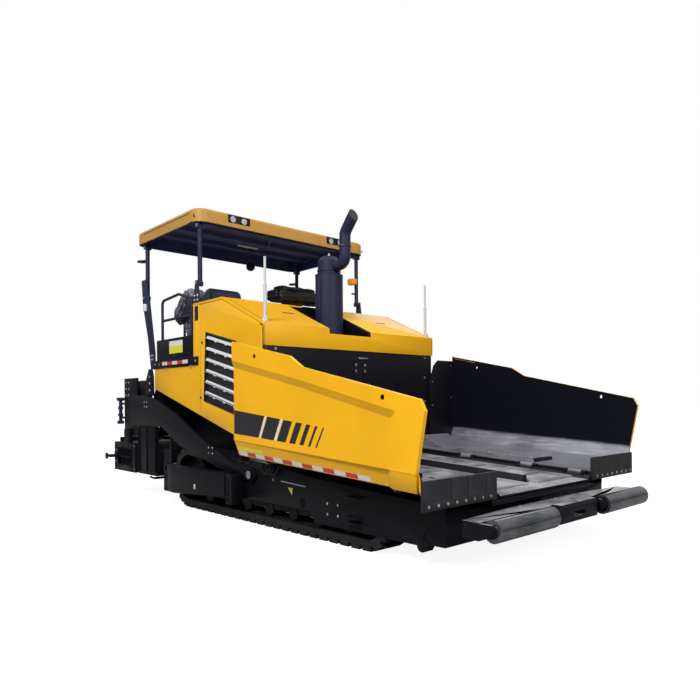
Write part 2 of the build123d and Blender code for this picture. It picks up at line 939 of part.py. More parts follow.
# Seats
seat_y = 780
with BuildPart() as seats:
    for s in (1, -1):
        seat_z = deck_z + 290
        block((-1650, -1250), ordered(s * (seat_y - 180), s * (seat_y + 180)), (deck_z, seat_z))
        block((-1700, -1190), ordered(s * (seat_y - 230), s * (seat_y + 230)), (seat_z, seat_z + 110))
        slab(
            [
                (-1700, seat_z + 110),
                (-1580, seat_z + 110),
                (-1700, seat_z + 560),
                (-1800, seat_z + 560),
            ],
            side_on(s * seat_y),
            440,
        )
save(seats.part, "seats")

# Consoles
with BuildPart() as consoles:
    block((-1190, -1060), (200, 340), (deck_z, deck_z + 810))
    block((-1260, -990), (20, 540), (deck_z + 810, deck_z + 970))
    slab(
        [
            (-1170, deck_z),
            (-945, deck_z),
            (-945, deck_z + 710),
            (-1000, deck_z + 860),
            (-1170, deck_z + 810),
        ],
        side_on(-790),
        420,
    )
save(consoles.part, "consoles")

# Handrails
with BuildPart() as handrails:
    for s in (1, -1):
        y = s * (body_half - 60)
        with BuildLine() as top_rail:
            FilletPolyline(
                (-1880, y, deck_z + 260),
                (-1880, y, deck_z + 765),
                (-1420, y, deck_z + 800),
                (-1080, y, deck_z + 710),
                (-1080, y, deck_z + 260),
                radius=60,
            )
        with BuildSketch(Plane(origin=top_rail.line @ 0, z_dir=top_rail.line % 0)):
            Circle(rail_r)
        sweep(path=top_rail.line)
        rod((-1880, y, deck_z + 510), (-1080, y, deck_z + 510), rail_r)
save(handrails.part, "handrails")

# Lift cylinders between the platform's rear and the tow arms, with the screed raised
lift_y = 1140
lift_top = (-2040, 1560)
lift_low = (-2350, 1050)
lift_r = 40
lift_rod_r = 22
lift_pin_r = 16
lift_eye_bore = 26
lift_dx = lift_low[0] - lift_top[0]
lift_dz = lift_low[1] - lift_top[1]
lift_length = hypot(lift_dx, lift_dz)


def along_lift(s, way):
    """a point a given way down a lift cylinder"""
    share = way / lift_length
    return (lift_top[0] + share * lift_dx, s * lift_y, lift_top[1] + share * lift_dz)


with BuildPart() as lift_barrels:
    for s in (1, -1):
        rod(along_lift(s, 20), along_lift(s, 470), lift_r)
        rod((lift_top[0], s * (lift_y - 34), lift_top[1]), (lift_top[0], s * (lift_y + 34), lift_top[1]), 36)
        rod(
            (lift_top[0], s * (lift_y - 36), lift_top[1]),
            (lift_top[0], s * (lift_y + 36), lift_top[1]),
            lift_pin_r + run_fit,
            Mode.SUBTRACT,
        )
        rod(along_lift(s, 45), along_lift(s, 472), lift_rod_r + run_fit, Mode.SUBTRACT)
save(lift_barrels.part, "lift_barrels")

with BuildPart() as lift_rods:
    for s in (1, -1):
        rod(along_lift(s, 60), along_lift(s, lift_length - lift_eye_bore - 4), lift_rod_r)
        for radius, mode in ((40, Mode.ADD), (lift_eye_bore, Mode.SUBTRACT)):
            rod(
                (lift_low[0], s * (lift_y - 22), lift_low[1]),
                (lift_low[0], s * (lift_y + 22), lift_low[1]),
                radius,
                mode,
            )
save(lift_rods.part, "lift_rods")

# Brackets that hold the folding posts' feet
ear = 14
post_pin_r = 12
with BuildPart() as post_brackets:
    for s in (1, -1):
        outer = post_y + post_r + 6 + ear / 2
        slab(
            [
                (deck_rear - 120, deck_z - deck_thick),
                (deck_rear - 2, deck_z - deck_thick),
                (deck_rear - 2, deck_z + 110),
                (post_rear_x + 150, post_low - 40),
                (post_rear_x + 40, post_low + 240),
                (post_rear_x - 90, post_low + 240),
                (post_rear_x - 50, post_low - 80),
                (deck_rear - 210, deck_z + 310),
            ],
            side_on(s * outer),
            ear,
        )
        block(
            (deck_rear - 120, deck_rear - 1),
            ordered(s * 900, s * outer),
            (deck_z - deck_thick, deck_z - 20),
        )
        for x in (post_front_x, post_rear_x):
            rod((x, s * (outer + ear / 2), post_low), (x, s * (post_y - post_r - 10), post_low), post_pin_r)
            rod((x, s * outer, post_low), (x, s * (post_y + post_r + 1), post_low), 30)
        # lugs and pin of the screed's lift cylinder
        for y in (lift_y - 52, lift_y + 52):
            slab(
                [
                    (deck_rear - 110, deck_z - deck_thick),
                    (deck_rear - 2, deck_z - deck_thick),
                    (lift_top[0] + 35, lift_top[1] - 30),
                    (lift_top[0] - 35, lift_top[1] - 30),
                ],
                side_on(s * y),
                12,
            )
        rod(
            (lift_top[0], s * (lift_y - 58), lift_top[1]),
            (lift_top[0], s * (lift_y + 58), lift_top[1]),
            lift_pin_r,
        )
        slab(
            [
                (post_front_x - 70, hood_top + 1),
                (post_front_x + 70, hood_top + 1),
                (post_front_x + 35, post_low + 35),
                (post_front_x - 35, post_low + 35),
            ],
            side_on(s * outer),
            ear,
        )
        block(
            (post_front_x - 70, post_front_x + 70),
            ordered(s * (post_y - 60), s * (outer + 7)),
            (hood_top + seat_gap, hood_top + 12),
        )
save(post_brackets.part, "post_brackets")

post_bore = post_pin_r + run_fit
for name, x in (("front_posts", post_front_x), ("rear_posts", post_rear_x)):
    with BuildPart() as posts:
        for s in (1, -1):
            rod((x, s * post_y, post_low), (x, s * post_y, post_high), post_r)
            for z in (post_low, post_high):
                rod((x, s * (post_y - post_r), z), (x, s * (post_y + post_r), z), 32)
                rod((x, s * (post_y - 50), z), (x, s * (post_y + 50), z), post_bore, Mode.SUBTRACT)
    save(posts.part, name)

# Canopy: rounded rim round a recessed roof skin, with clevises for the posts
lamp_in = 590
lamp_out = 890
lamp_z = roof_bottom + 95
rim = 34
roof_skin = 26
with BuildPart() as canopy:
    roof_mid = (roof_front + roof_rear) / 2
    with BuildSketch(level(roof_bottom)):
        with Locations((roof_mid, 0)):
            RectangleRounded(roof_front - roof_rear, 2 * roof_half, 150)
    extrude(amount=roof_top - roof_bottom)
    fillet(canopy.faces().sort_by(Axis.Z)[-1].edges(), 40)
    with BuildSketch(level(roof_bottom - 1)):
        with Locations((roof_mid, 0)):
            RectangleRounded(roof_front - roof_rear - 2 * rim, 2 * roof_half - 2 * rim, 120)
    extrude(amount=roof_top - roof_skin - roof_bottom + 1, mode=Mode.SUBTRACT)
    # channels under the skin
    for x in (-1180, roof_mid, -2040):
        block(
            (x - 35, x + 35),
            (-roof_half + rim / 2, roof_half - rim / 2),
            (roof_top - roof_skin - 45, roof_top - roof_skin + 1),
        )
    for s in (1, -1):
        # recess for the front lamps, and a pressed panel along each side
        block(
            (roof_front - 24, roof_front + 5),
            ordered(s * lamp_in, s * lamp_out),
            (lamp_z - 48, lamp_z + 48),
            Mode.SUBTRACT,
        )
        block(
            (roof_rear + 270, roof_front - 180),
            ordered(s * (roof_half - 7), s * (roof_half + 5)),
            (roof_bottom - 5, roof_bottom + 112),
            Mode.SUBTRACT,
        )
        for x in (post_front_x, post_rear_x):
            for y in (post_y - post_r - 8, post_y + post_r + 8):
                slab(
                    [
                        (x - 32, post_high - 32),
                        (x + 32, post_high - 32),
                        (x + 32, roof_bottom + 10),
                        (x + 60, roof_top - 20),
                        (x - 160, roof_top - 20),
                        (x - 32, roof_bottom + 10),
                    ],
                    side_on(s * y),
                    12,
                )
            reach = post_r + 10
            rod((x, s * (post_y - reach), post_high), (x, s * (post_y + reach), post_high), post_pin_r)
save(canopy.part, "canopy")

# Roof lamps in their recess
lamp_r = 38
with BuildPart() as roof_lamps:
    for s in (1, -1):
        for y in (670, 820):
            lamp_x = roof_front - 24 + seat_gap
            rod((lamp_x, s * y, lamp_z), (roof_front - 4, s * y, lamp_z), lamp_r)
save(roof_lamps.part, "roof_lamps")

# Push beam and its rollers, with a pocket and upright pin hole for towing
tow_hole_x = roller_x - 22
tow_hole_r = 20
with BuildPart() as push_beam:
    with BuildSketch(level(beam_top - 130)):
        with BuildLine():
            Polyline(
                (roller_x - 250, -beam_half - 50),
                (beam_pin_x + 35, -500),
                (beam_pin_x + 35, 500),
                (roller_x - 250, beam_half + 50),
                (roller_x - 100, beam_half + 50),
                (roller_x - 100, hump_half + 70),
                (roller_x + 15, hump_half),
                (roller_x + 15, -hump_half),
                (roller_x - 100, -hump_half - 70),
                (roller_x - 100, -beam_half - 50),
                close=True,
            )
        make_face()
    extrude(amount=130)
    # the hump between the rollers stands a little over the beam
    slab(
        [
            (roller_x - 100, beam_top - 1),
            (roller_x - 70, beam_top + 20),
            (roller_x + 10, beam_top + 20),
            (roller_x + 15, beam_top - 1),
        ],
        side_on(0),
        2 * hump_half - 40,
    )
    block((roller_x - 80, roller_x + 30), (-90, 90), (beam_top - 95, beam_top - 45), Mode.SUBTRACT)
    for s in (1, -1):
        for y in (hump_half + 85, beam_half + 35):
            slab(
                [
                    (roller_x - 105, roller_z - 50),
                    (roller_x + 10, roller_z - 50),
                    (roller_x + 38, roller_z - 20),
                    (roller_x + 38, roller_z + 20),
                    (roller_x + 10, roller_z + 50),
                    (roller_x - 105, roller_z + 50),
                ],
                side_on(s * y),
                28,
            )
        rod((roller_x, s * (hump_half + 80), roller_z), (roller_x, s * (beam_half + 40), roller_z), 20)
        # gussets under the beam's arms
        for y in (150, 620):
            slab(
                [
                    (beam_pin_x + 60, beam_top - 129),
                    (roller_x - 110, beam_top - 129),
                    (roller_x - 160, beam_top - 180),
                    (beam_pin_x + 80, beam_top - 180),
                ],
                side_on(s * y),
                14,
            )
    # eye that turns on the frame's upright pin
    block((beam_pin_x - 40, beam_pin_x + 40), (-45, 45), (beam_top - 125, beam_top - 10))
    rod(
        (beam_pin_x, 0, beam_top - 130),
        (beam_pin_x, 0, beam_top - 5),
        beam_pin_r + run_fit,
        Mode.SUBTRACT,
    )
    rod((tow_hole_x, 0, beam_top - 135), (tow_hole_x, 0, beam_top + 25), tow_hole_r, Mode.SUBTRACT)
save(push_beam.part, "push_beam")

for side, s in (("left", 1), ("right", -1)):
    with BuildPart() as push_roller:
        rod((roller_x, s * (hump_half + 105), roller_z), (roller_x, s * (beam_half + 15), roller_z), push_r)
        for y in (hump_half + 105, beam_half + 15):
            way = 14 if y < beam_half else -14
            rod(
                (roller_x, s * (y - 1), roller_z),
                (roller_x, s * (y + way), roller_z),
                push_r - 22,
                Mode.SUBTRACT,
            )
        rod((roller_x, s * (hump_half + 100), roller_z), (roller_x, s * (beam_half + 20), roller_z), 44)
        rod(
            (roller_x, s * (hump_half + 90), roller_z),
            (roller_x, s * (beam_half + 30), roller_z),
            push_bore,
            Mode.SUBTRACT,
        )
    save(push_roller.part, "push_roller_" + side)

# Track guards, swinging on upright pins ahead of them
guard_in = arm_y + arm_thick / 2 + 10
guard_out = guard_in + 118
guard_pin_x = 60
guard_pin_r = 12
guard_rear = -1500
for side, s in (("left", 1), ("right", -1)):
    with BuildPart() as guard:
        with BuildSketch(level(190)):
            with BuildLine():
                Polyline(
                    (0, s * guard_in),
                    (0, s * guard_out),
                    (guard_rear + 70, s * guard_out),
                    (guard_rear + 15, s * (guard_out - 40)),
                    (guard_rear, s * guard_in),
                    close=True,
                )
            make_face()
        extrude(amount=320)
        block(
            (guard_rear + 80, -12),
            ordered(s * (guard_in - 1), s * (guard_out - 10)),
            (200, 500),
            Mode.SUBTRACT,
        )
        block((-13, guard_pin_x), ordered(s * (guard_out - 30), s * (guard_out - 12)), (220, 480))
        rod((guard_pin_x, s * (guard_out - 21), 220), (guard_pin_x, s * (guard_out - 21), 480), 26)
        rod(
            (guard_pin_x, s * (guard_out - 21), 210),
            (guard_pin_x, s * (guard_out - 21), 490),
            guard_pin_r + run_fit,
            Mode.SUBTRACT,
        )
    save(guard.part, "track_guard_" + side)

with BuildPart() as guard_ears:
    for s in (1, -1):
        y = s * (guard_out - 21)
        for z in (200, 486):
            block((guard_pin_x - 26, 160), ordered(s * (guard_in + 10), s * (guard_out + 5)), (z, z + 14))
        rod((guard_pin_x, s * (guard_out - 21), 200), (guard_pin_x, s * (guard_out - 21), 500), guard_pin_r)
        block((110, 160), ordered(s * guard_in, s * (guard_out + 5)), (200, 500))
        block((110, 160), ordered(s * (side_frame_y + 7.5 + seat_gap), s * guard_in), (250, 420))
save(guard_ears.part, "guard_ears")

# Tow arms
with BuildPart() as tow_arms:
    for s in (1, -1):
        slab(
            [
                (tow_x + 70, tow_z),
                (tow_x, tow_z + 70),
                (-30, 600),
                (-780, 850),
                (-1420, 1120),
                (-1900, 1280),
                (-2280, 1350),
                (-2770, 1360),
                (-2770, 950),
                (-1800, 950),
                (-1280, 730),
                (-340, 530),
                (tow_x, tow_z - 70),
            ],
            side_on(s * arm_y),
            arm_thick,
        )
        rod(
            (tow_x, s * (arm_y - 30), tow_z),
            (tow_x, s * (arm_y + 30), tow_z),
            tow_pin_r + run_fit,
            Mode.SUBTRACT,
        )
        rod(
            (lift_low[0], s * arm_y, lift_low[1]),
            (lift_low[0], s * (lift_y - 24), lift_low[1]),
            lift_pin_r,
        )
save(tow_arms.part, "tow_arms")

with BuildPart() as tow_points:
    for s in (1, -1):
        rod(
            (tow_x, s * (side_frame_y + 7.5 + seat_gap), tow_z),
            (tow_x, s * (arm_y + 40), tow_z),
            tow_pin_r,
        )
save(tow_points.part, "tow_points")

# Screed body
tower_front = screed_rear - 40
tower_rear = screed_rear - 530
tower_y = 1000
with BuildPart() as screed:
    slab(
        [
            (screed_front, screed_bottom + 30),
            (screed_front + 20, screed_bottom + 60),
            (screed_front + 20, 620),
            (screed_front - 80, screed_top),
            (screed_rear, screed_top),
            (screed_rear, screed_bottom),
            (screed_front - 20, screed_bottom),
        ],
        side_on(0),
        2 * screed_half,
    )
    # strike-off blade along the front
    slab(
        [
            (screed_front + 19, 380),
            (screed_front + 28, 380),
            (screed_front + 28, 640),
            (screed_front + 19, 640),
        ],
        side_on(0),
        2 * screed_half - 200,
    )
    for s in (1, -1):
        # side gate, with its ribs
        slab(
            [
                (screed_front - 570, 340),
                (screed_front + 10, 340),
                (screed_front + 10, 960),
                (screed_front - 570, 960),
            ],
            side_on(s * (screed_half - 10)),
            14,
        )
        for x in (screed_front - 540, screed_front - 280, screed_front - 20):
            block((x - 8, x + 8), ordered(s * (screed_half - 5), s * (screed_half + 30)), (345, 925))
        # tower with the crank spindle that sets the screed's height
        block((tower_rear, tower_front), ordered(s * tower_y, s * (tower_y + 20)), (930, 1570))
        for x in (tower_rear, tower_front - 20):
            block((x, x + 20), ordered(s * tower_y, s * (tower_y + 80)), (1330, 1570))
        block((tower_rear, tower_front), ordered(s * (tower_y + 19), s * (tower_y + 80)), (1330, 1350))
        block(
            (tower_front - 130, tower_front),
            ordered(s * (tower_y + 20), s * (arm_y - arm_thick / 2)),
            (960, 1340),
        )
        foot = ordered(s * (tower_y - 20), s * (tower_y + 30))
        block((screed_rear - 50, screed_rear + 1), foot, (500, 1200))
        spindle_x = tower_rear + 70
        rod((spindle_x, s * (tower_y + 50), 990), (spindle_x, s * (tower_y + 50), 1331), 24)
        rod((spindle_x, s * (tower_y + 50), 1000), (spindle_x, s * (tower_y + 50), 1060), 42)
        # housing tube of the extension's guide rod, on two brackets
        rod((guide_x, s * 20, guide_z), (guide_x, s * 990, guide_z), guide_r + guide_wall)
        rod((guide_x, s * 19, guide_z), (guide_x, s * 991, guide_z), guide_r + run_fit, Mode.SUBTRACT)
        for y in (60, 940):
            block(
                (guide_x + 60, screed_rear + 40),
                ordered(s * (y - 12), s * (y + 12)),
                (screed_top - 20, guide_z + 40),
            )
    # walkway on the screed's top
    block((screed_rear + 10, screed_front - 100), (-880, 880), (screed_top - 1, screed_top + 40))
save(screed.part, "screed")

# Screed extensions, each with a guide rod in its own housing tube
end_bolt_r = 13
end_out = body_half - 10
end_table = (
    # rib bays of the end casting: place along the machine, height
    (ext_mid - 148, 440),
    (ext_mid, 440),
    (ext_mid + 148, 440),
    (ext_mid - 148, 565),
    (ext_mid, 565),
    (ext_mid + 148, 565),
)
for side, s in (("left", 1), ("right", -1)):
    with BuildPart() as extension:
        block((ext_rear, ext_front), ordered(s * screed_split, s * end_out), (screed_bottom, ext_top))
        rod((guide_x, s * 30, guide_z), (guide_x, s * (end_out - 50), guide_z), guide_r)
        block(
            (guide_x - 80, guide_x + 80),
            ordered(s * (end_out - 60), s * end_out),
            (ext_top - 10, guide_z + 60),
        )
        for x, z in end_table:
            block(
                (x - 62, x + 62),
                ordered(s * (end_out - 34), s * (end_out + 1)),
                (z - 50, z + 50),
                Mode.SUBTRACT,
            )
        with BuildSketch(side_on(s * (end_out + 1))) as holes:
            with Locations((ext_mid, (screed_bottom + ext_top) / 2)):
                with GridLocations(560, 280, 2, 2):
                    Circle(end_bolt_r)
        extrude(holes.sketch, amount=s * 61, mode=Mode.SUBTRACT)
        # folding footboard behind the extension
        block((ext_rear, ext_rear + 14), ordered(s * 60, s * (end_out - 80)), (ext_top - 1, ext_top + 60))
        # end gate's clamp stud with its flange
        stud_x = ext_mid - 223
        rod((stud_x, s * (end_out - 1), 502), (stud_x, s * (end_out + 120), 502), 17)
        rod((stud_x, s * (end_out + 28), 502), (stud_x, s * (end_out + 40), 502), 42)
    save(extension.part, "screed_extension_" + side)

# Augers: a shaft with a spiral blade, between the middle bearing and the end bearing
blade = 14
for side, s in (("left", 1), ("right", -1)):
    with BuildPart() as auger:
        rod((auger_x, s * 60, auger_z), (auger_x, s * auger_end, auger_z), auger_core)
        rod((auger_x, s * 30, auger_z), (auger_x, s * (auger_end + 25), auger_z), journal_r)
        with BuildLine() as spiral:
            Helix(
                pitch=auger_pitch,
                height=auger_end - 110,
                radius=auger_core - 6,
                center=(auger_x, s * 75, auger_z),
                direction=(0, s, 0),
                lefthand=s < 0,
            )
        start = spiral.line @ 0
        across = Vector(start.X - auger_x, 0, start.Z - auger_z).normalized()
        with BuildSketch(Plane(origin=start, x_dir=across, z_dir=spiral.line % 0)):
            Rectangle(auger_r - auger_core + 6, blade, align=(Align.MIN, Align.CENTER))
        sweep(path=spiral.line, is_frenet=True)
    save(auger.part, "auger_" + side)

with BuildPart() as auger_frame:
    block((frame_rear - 120, frame_rear - seat_gap), (-auger_end - 30, auger_end + 30), (1060, 1150))
    block((auger_x - 60, frame_rear - 40), (-50, 50), (auger_z - 80, 1100))
    rod((auger_x, -52, auger_z), (auger_x, 52, auger_z), journal_r + run_fit, Mode.SUBTRACT)
    for s in (1, -1):
        end_in = auger_end + 6
        end_far = auger_end + 28
        block((auger_x - 110, frame_rear - 80), ordered(s * end_in, s * end_far), (130, 660))
        block((frame_rear - 120, frame_rear - 80), ordered(s * end_in, s * end_far), (600, 1100))
        rod(
            (auger_x, s * (end_in - 1), auger_z),
            (auger_x, s * (end_far + 2), auger_z),
            journal_r + run_fit,
            Mode.SUBTRACT,
        )
        # bearing cap with its grease stub
        with BuildSketch(side_on(s * end_far)):
            with Locations((auger_x, auger_z)):
                Circle(70)
                Circle(journal_r + run_fit, mode=Mode.SUBTRACT)
        extrude(amount=-s * 20)
        rod((auger_x - 90, s * end_far, 300), (auger_x - 90, s * (end_far + 130), 300), 16)
save(auger_frame.part, "auger_frame")
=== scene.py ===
import math

import bmesh
import bpy
from bpy.props import FloatProperty, FloatVectorProperty, IntProperty, PointerProperty
from mathutils import Matrix, Vector


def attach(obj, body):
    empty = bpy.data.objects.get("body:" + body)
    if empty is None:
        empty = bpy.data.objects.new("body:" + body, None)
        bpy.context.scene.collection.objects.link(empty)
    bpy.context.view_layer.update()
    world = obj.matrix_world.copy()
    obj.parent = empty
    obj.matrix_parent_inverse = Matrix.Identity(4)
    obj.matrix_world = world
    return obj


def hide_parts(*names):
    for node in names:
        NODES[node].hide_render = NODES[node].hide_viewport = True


bl_info = {
    "name": "Asphalt paver dressing",
    "version": (1, 0, 0),
    "blender": (4, 5, 0),
    "location": "View3D > Sidebar > Paver",
    "description": "Dresses the packed frame of a tracked asphalt paver and lights it",
    "category": "Object",
}

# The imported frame, in metres: +X forward, +Y to the machine's left, +Z up from the ground
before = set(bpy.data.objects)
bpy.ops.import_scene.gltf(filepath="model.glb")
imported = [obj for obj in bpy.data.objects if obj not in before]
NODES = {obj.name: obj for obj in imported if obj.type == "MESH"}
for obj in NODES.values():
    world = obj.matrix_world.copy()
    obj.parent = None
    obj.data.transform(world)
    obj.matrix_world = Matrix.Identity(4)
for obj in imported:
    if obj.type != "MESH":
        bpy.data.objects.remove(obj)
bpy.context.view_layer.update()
SIDES = (("left", 1, "l"), ("right", -1, "r"))


# Settings a user would change

class PaverSizes(bpy.types.PropertyGroup):
    """Sizes of the trim"""
    edge: FloatProperty(
        name="Edge radius", description="Rounding of plate edges", default=0.004, unit="LENGTH"
    )
    bolt: FloatProperty(
        name="Bolt head", description="Half width of a hexagon head", default=0.016, unit="LENGTH"
    )
    slats: IntProperty(name="Louvre slats", description="Slats in each side door", default=7)
    floor: FloatProperty(
        name="Floor size", description="Half width of the floor", default=60.0, unit="LENGTH"
    )


class PaverColours(bpy.types.PropertyGroup):
    """Colours of the paints"""
    body: FloatVectorProperty(
        name="Body", description="Paint of hood, doors and wings",
        subtype="COLOR", size=3, default=(0.88, 0.445, 0.006),
    )
    dark: FloatVectorProperty(
        name="Frame", description="Paint of frame and screed",
        subtype="COLOR", size=3, default=(0.0055, 0.0055, 0.009),
    )
    slate: FloatVectorProperty(
        name="Exhaust", description="Paint of exhaust and roof posts",
        subtype="COLOR", size=3, default=(0.015, 0.019, 0.050),
    )



# Shader values and finishes

class Num:
    """A shader value; arithmetic on it adds Math nodes to its finish."""

    def __init__(self, finish, socket):
        self.finish = finish
        self.socket = socket

    def math(self, operation, *values):
        """the result of a Math node"""
        node = self.finish.node("ShaderNodeMath", {"operation": operation}, dict(enumerate(values)))
        return Num(self.finish, node.outputs[0])

    def __add__(self, other):
        return self.math("ADD", self, other)

    def __sub__(self, other):
        return self.math("SUBTRACT", self, other)

    def __mul__(self, other):
        return self.math("MULTIPLY", self, other)

    def __radd__(self, other):
        return self.math("ADD", other, self)

    def __rsub__(self, other):
        return self.math("SUBTRACT", other, self)

    def over(self, low, high):
        """0 below low, 1 above high, even between"""
        sockets = {"Value": self, "From Min": low, "From Max": high}
        return Num(self.finish, self.finish.node("ShaderNodeMapRange", {}, sockets).outputs[0])


def with_alpha(colour):
    """a plain colour as a socket takes it; a link stays as it is"""
    return (*colour, 1.0) if isinstance(colour, tuple) else colour


class Finish:
    """A procedural material, built node by node."""

    def __init__(self, name, rough=0.5, metal=0.0, coat=0.0):
        self.material = bpy.data.materials.new(name)
        self.material.use_nodes = True
        self.tree = self.material.node_tree
        self.tree.nodes.clear()
        self.shader = self.node("ShaderNodeBsdfPrincipled", {}, {
            "Roughness": rough, "Metallic": metal, "Coat Weight": coat, "Coat Roughness": 0.12,
        })
        self.out = self.node("ShaderNodeOutputMaterial", {}, {0: self.shader.outputs[0]})
        self.place = self.tree.nodes.new("ShaderNodeTexCoord").outputs["Object"]

    def node(self, kind, settings, sockets):
        """one node of a type, with its settings and its sockets' values or links"""
        made = self.tree.nodes.new(kind)
        for key, value in settings.items():
            setattr(made, key, value)
        for key, value in sockets.items():
            self.feed(made.inputs[key], value)
        return made

    def feed(self, socket, value):
        """set a socket to a value, or link it"""
        if isinstance(value, Num):
            self.tree.links.new(value.socket, socket)
        elif isinstance(value, bpy.types.NodeSocket):
            self.tree.links.new(value, socket)
        else:
            socket.default_value = value

    def noise(self, scale, detail=3.0, stretch=(1, 1, 1)):
        """a noise value between 0 and 1, with its grain per metre and its stretch"""
        mapped = self.node("ShaderNodeMapping", {}, {"Vector": self.place, "Scale": stretch})
        sockets = {"Vector": mapped.outputs[0], "Scale": scale, "Detail": detail}
        return Num(self, self.node("ShaderNodeTexNoise", {}, sockets).outputs[0])

    def cells(self, scale, **settings):
        """the distance inside the cells of a honeycomb, with its cells per metre"""
        made = self.node("ShaderNodeTexVoronoi", settings, {"Vector": self.place, "Scale": scale})
        return Num(self, made.outputs["Distance"])

    def axis(self, letter):
        """how far along one row axis a point lies, in metres"""
        made = self.node("ShaderNodeSeparateXYZ", {}, {0: self.place})
        return Num(self, made.outputs[letter.upper()])

    def facing_up(self):
        """the upward part of a face's direction"""
        normal = self.tree.nodes.new("ShaderNodeNewGeometry").outputs["Normal"]
        return Num(self, self.node("ShaderNodeSeparateXYZ", {}, {0: normal}).outputs["Z"])

    def mix(self, share, low, high):
        """a colour between two colours"""
        sockets = {0: share, 6: with_alpha(low), 7: with_alpha(high)}
        return self.node("ShaderNodeMix", {"data_type": "RGBA"}, sockets).outputs[2]

    def finished(self, colour, rough=None, height=None, strength=0.1, distance=0.001):
        """feed the colour, the roughness and the bump, and give the material"""
        self.feed(self.shader.inputs["Base Color"], colour)
        if rough is not None:
            self.feed(self.shader.inputs["Roughness"], rough)
        if height is not None:
            sockets = {"Strength": strength, "Distance": distance, "Height": height}
            self.feed(self.shader.inputs["Normal"], self.node("ShaderNodeBump", {}, sockets).outputs[0])
        return self.material


FINISHES = {}


def shade(colour, share):
    """a colour made lighter or darker"""
    return tuple(channel * share for channel in colour)


def painted(name, colour, rough, coat, dust, shine=0.5):
    """sprayed paint: slow tone drift, fine orange peel and dust on what faces up or stands low"""
    made = Finish(name, rough, 0.0, coat)
    made.shader.inputs["Specular IOR Level"].default_value = shine
    drift = made.noise(1.3, 2.0).over(0.3, 0.7)
    base = made.mix(drift, shade(colour, 0.93), shade(colour, 1.06))
    grime = made.noise(9.0, 6.0).over(0.42, 0.75)
    low = made.axis("z").over(1.1, 0.1)
    share = (grime * (low + made.facing_up().over(0.6, 1.0) * 0.5)).math("MINIMUM", 1.0) * dust
    return made.finished(
        made.mix(share, base, (0.16, 0.14, 0.12)),
        share * 0.35 + made.noise(30.0, 2.0) * 0.06 + (rough - 0.03),
        made.noise(260.0, 1.0), 0.04, 0.0008,
    )


def worn(name, colour, bright, rough, stretch, metal=0.85):
    """bare steel rubbed by the mix: long scratches, dull patches and a film of dust"""
    made = Finish(name, rough, metal)
    scratch = made.noise(60.0, 5.0, stretch)
    patch = made.noise(3.0, 5.0).over(0.35, 0.65)
    base = made.mix(patch, colour, bright)
    colour = made.mix(scratch.over(0.5, 0.8), base, shade(bright, 1.25))
    return made.finished(colour, rough + patch * 0.16 - scratch * 0.12, scratch, 0.10, 0.001)


def cast(name, colour, rough, dust):
    """rough rolled or cast metal under thin paint, with caked dust"""
    made = Finish(name, rough, 0.25)
    grain = made.noise(120.0, 6.0)
    cake = made.noise(7.0, 6.0).over(0.45, 0.8)
    colour = made.mix(cake * dust, colour, (0.11, 0.10, 0.09))
    return made.finished(colour, rough + cake * 0.25 - grain * 0.1, grain, 0.25, 0.0015)


def lining(name, paint, steel):
    """dark paint of the hopper, rubbed to steel towards its floor; the bare steel is darker where it faces
    up, a painted highlight on the slopes
    """
    made = Finish(name, 0.33)
    made.shader.inputs["Specular IOR Level"].default_value = 0.15
    height = made.axis("z") + made.axis("x") * math.tan(FALL) - HINGE_Z
    ragged = made.noise(2.2, 5.0, (1, 1, 3)) * 0.05 - 0.025
    rubbed = (height + ragged).over(0.235, 0.195)
    scratch = made.noise(45.0, 5.0, (0.08, 1, 1))
    patch = made.noise(1.6, 3.0).over(0.3, 0.7)
    bare = made.mix(patch, shade(steel, 0.32), steel)
    bare = made.mix(scratch.over(0.5, 0.8) * 0.6, bare, shade(steel, 1.7))
    # painted highlight: bare steel that faces up is made darker than on the slopes
    flat = made.facing_up().over(0.55, 0.95)
    bare = made.mix(flat * 0.6, bare, shade(steel, 0.6))
    made.feed(made.shader.inputs["Metallic"], rubbed * 0.4)
    rough = rubbed * 0.10 + patch * 0.06 + 0.31
    return made.finished(made.mix(rubbed, paint, bare), rough, scratch, 0.08, 0.0008)


def tread(name, colour):
    """dark plate with crossing raised bars"""
    made = Finish(name, 0.5, 0.3)
    along = (made.axis("x") + made.axis("y")) * 90.0
    across = (made.axis("x") - made.axis("y")) * 90.0
    bars = along.math("SINE", along).over(0.55, 0.8) * across.math("SINE", across).over(-0.9, 0.2)
    rubbed = made.mix(bars * 0.5, colour, (0.10, 0.10, 0.105))
    return made.finished(rubbed, 0.5 - bars * 0.12, bars, 0.5, 0.002)


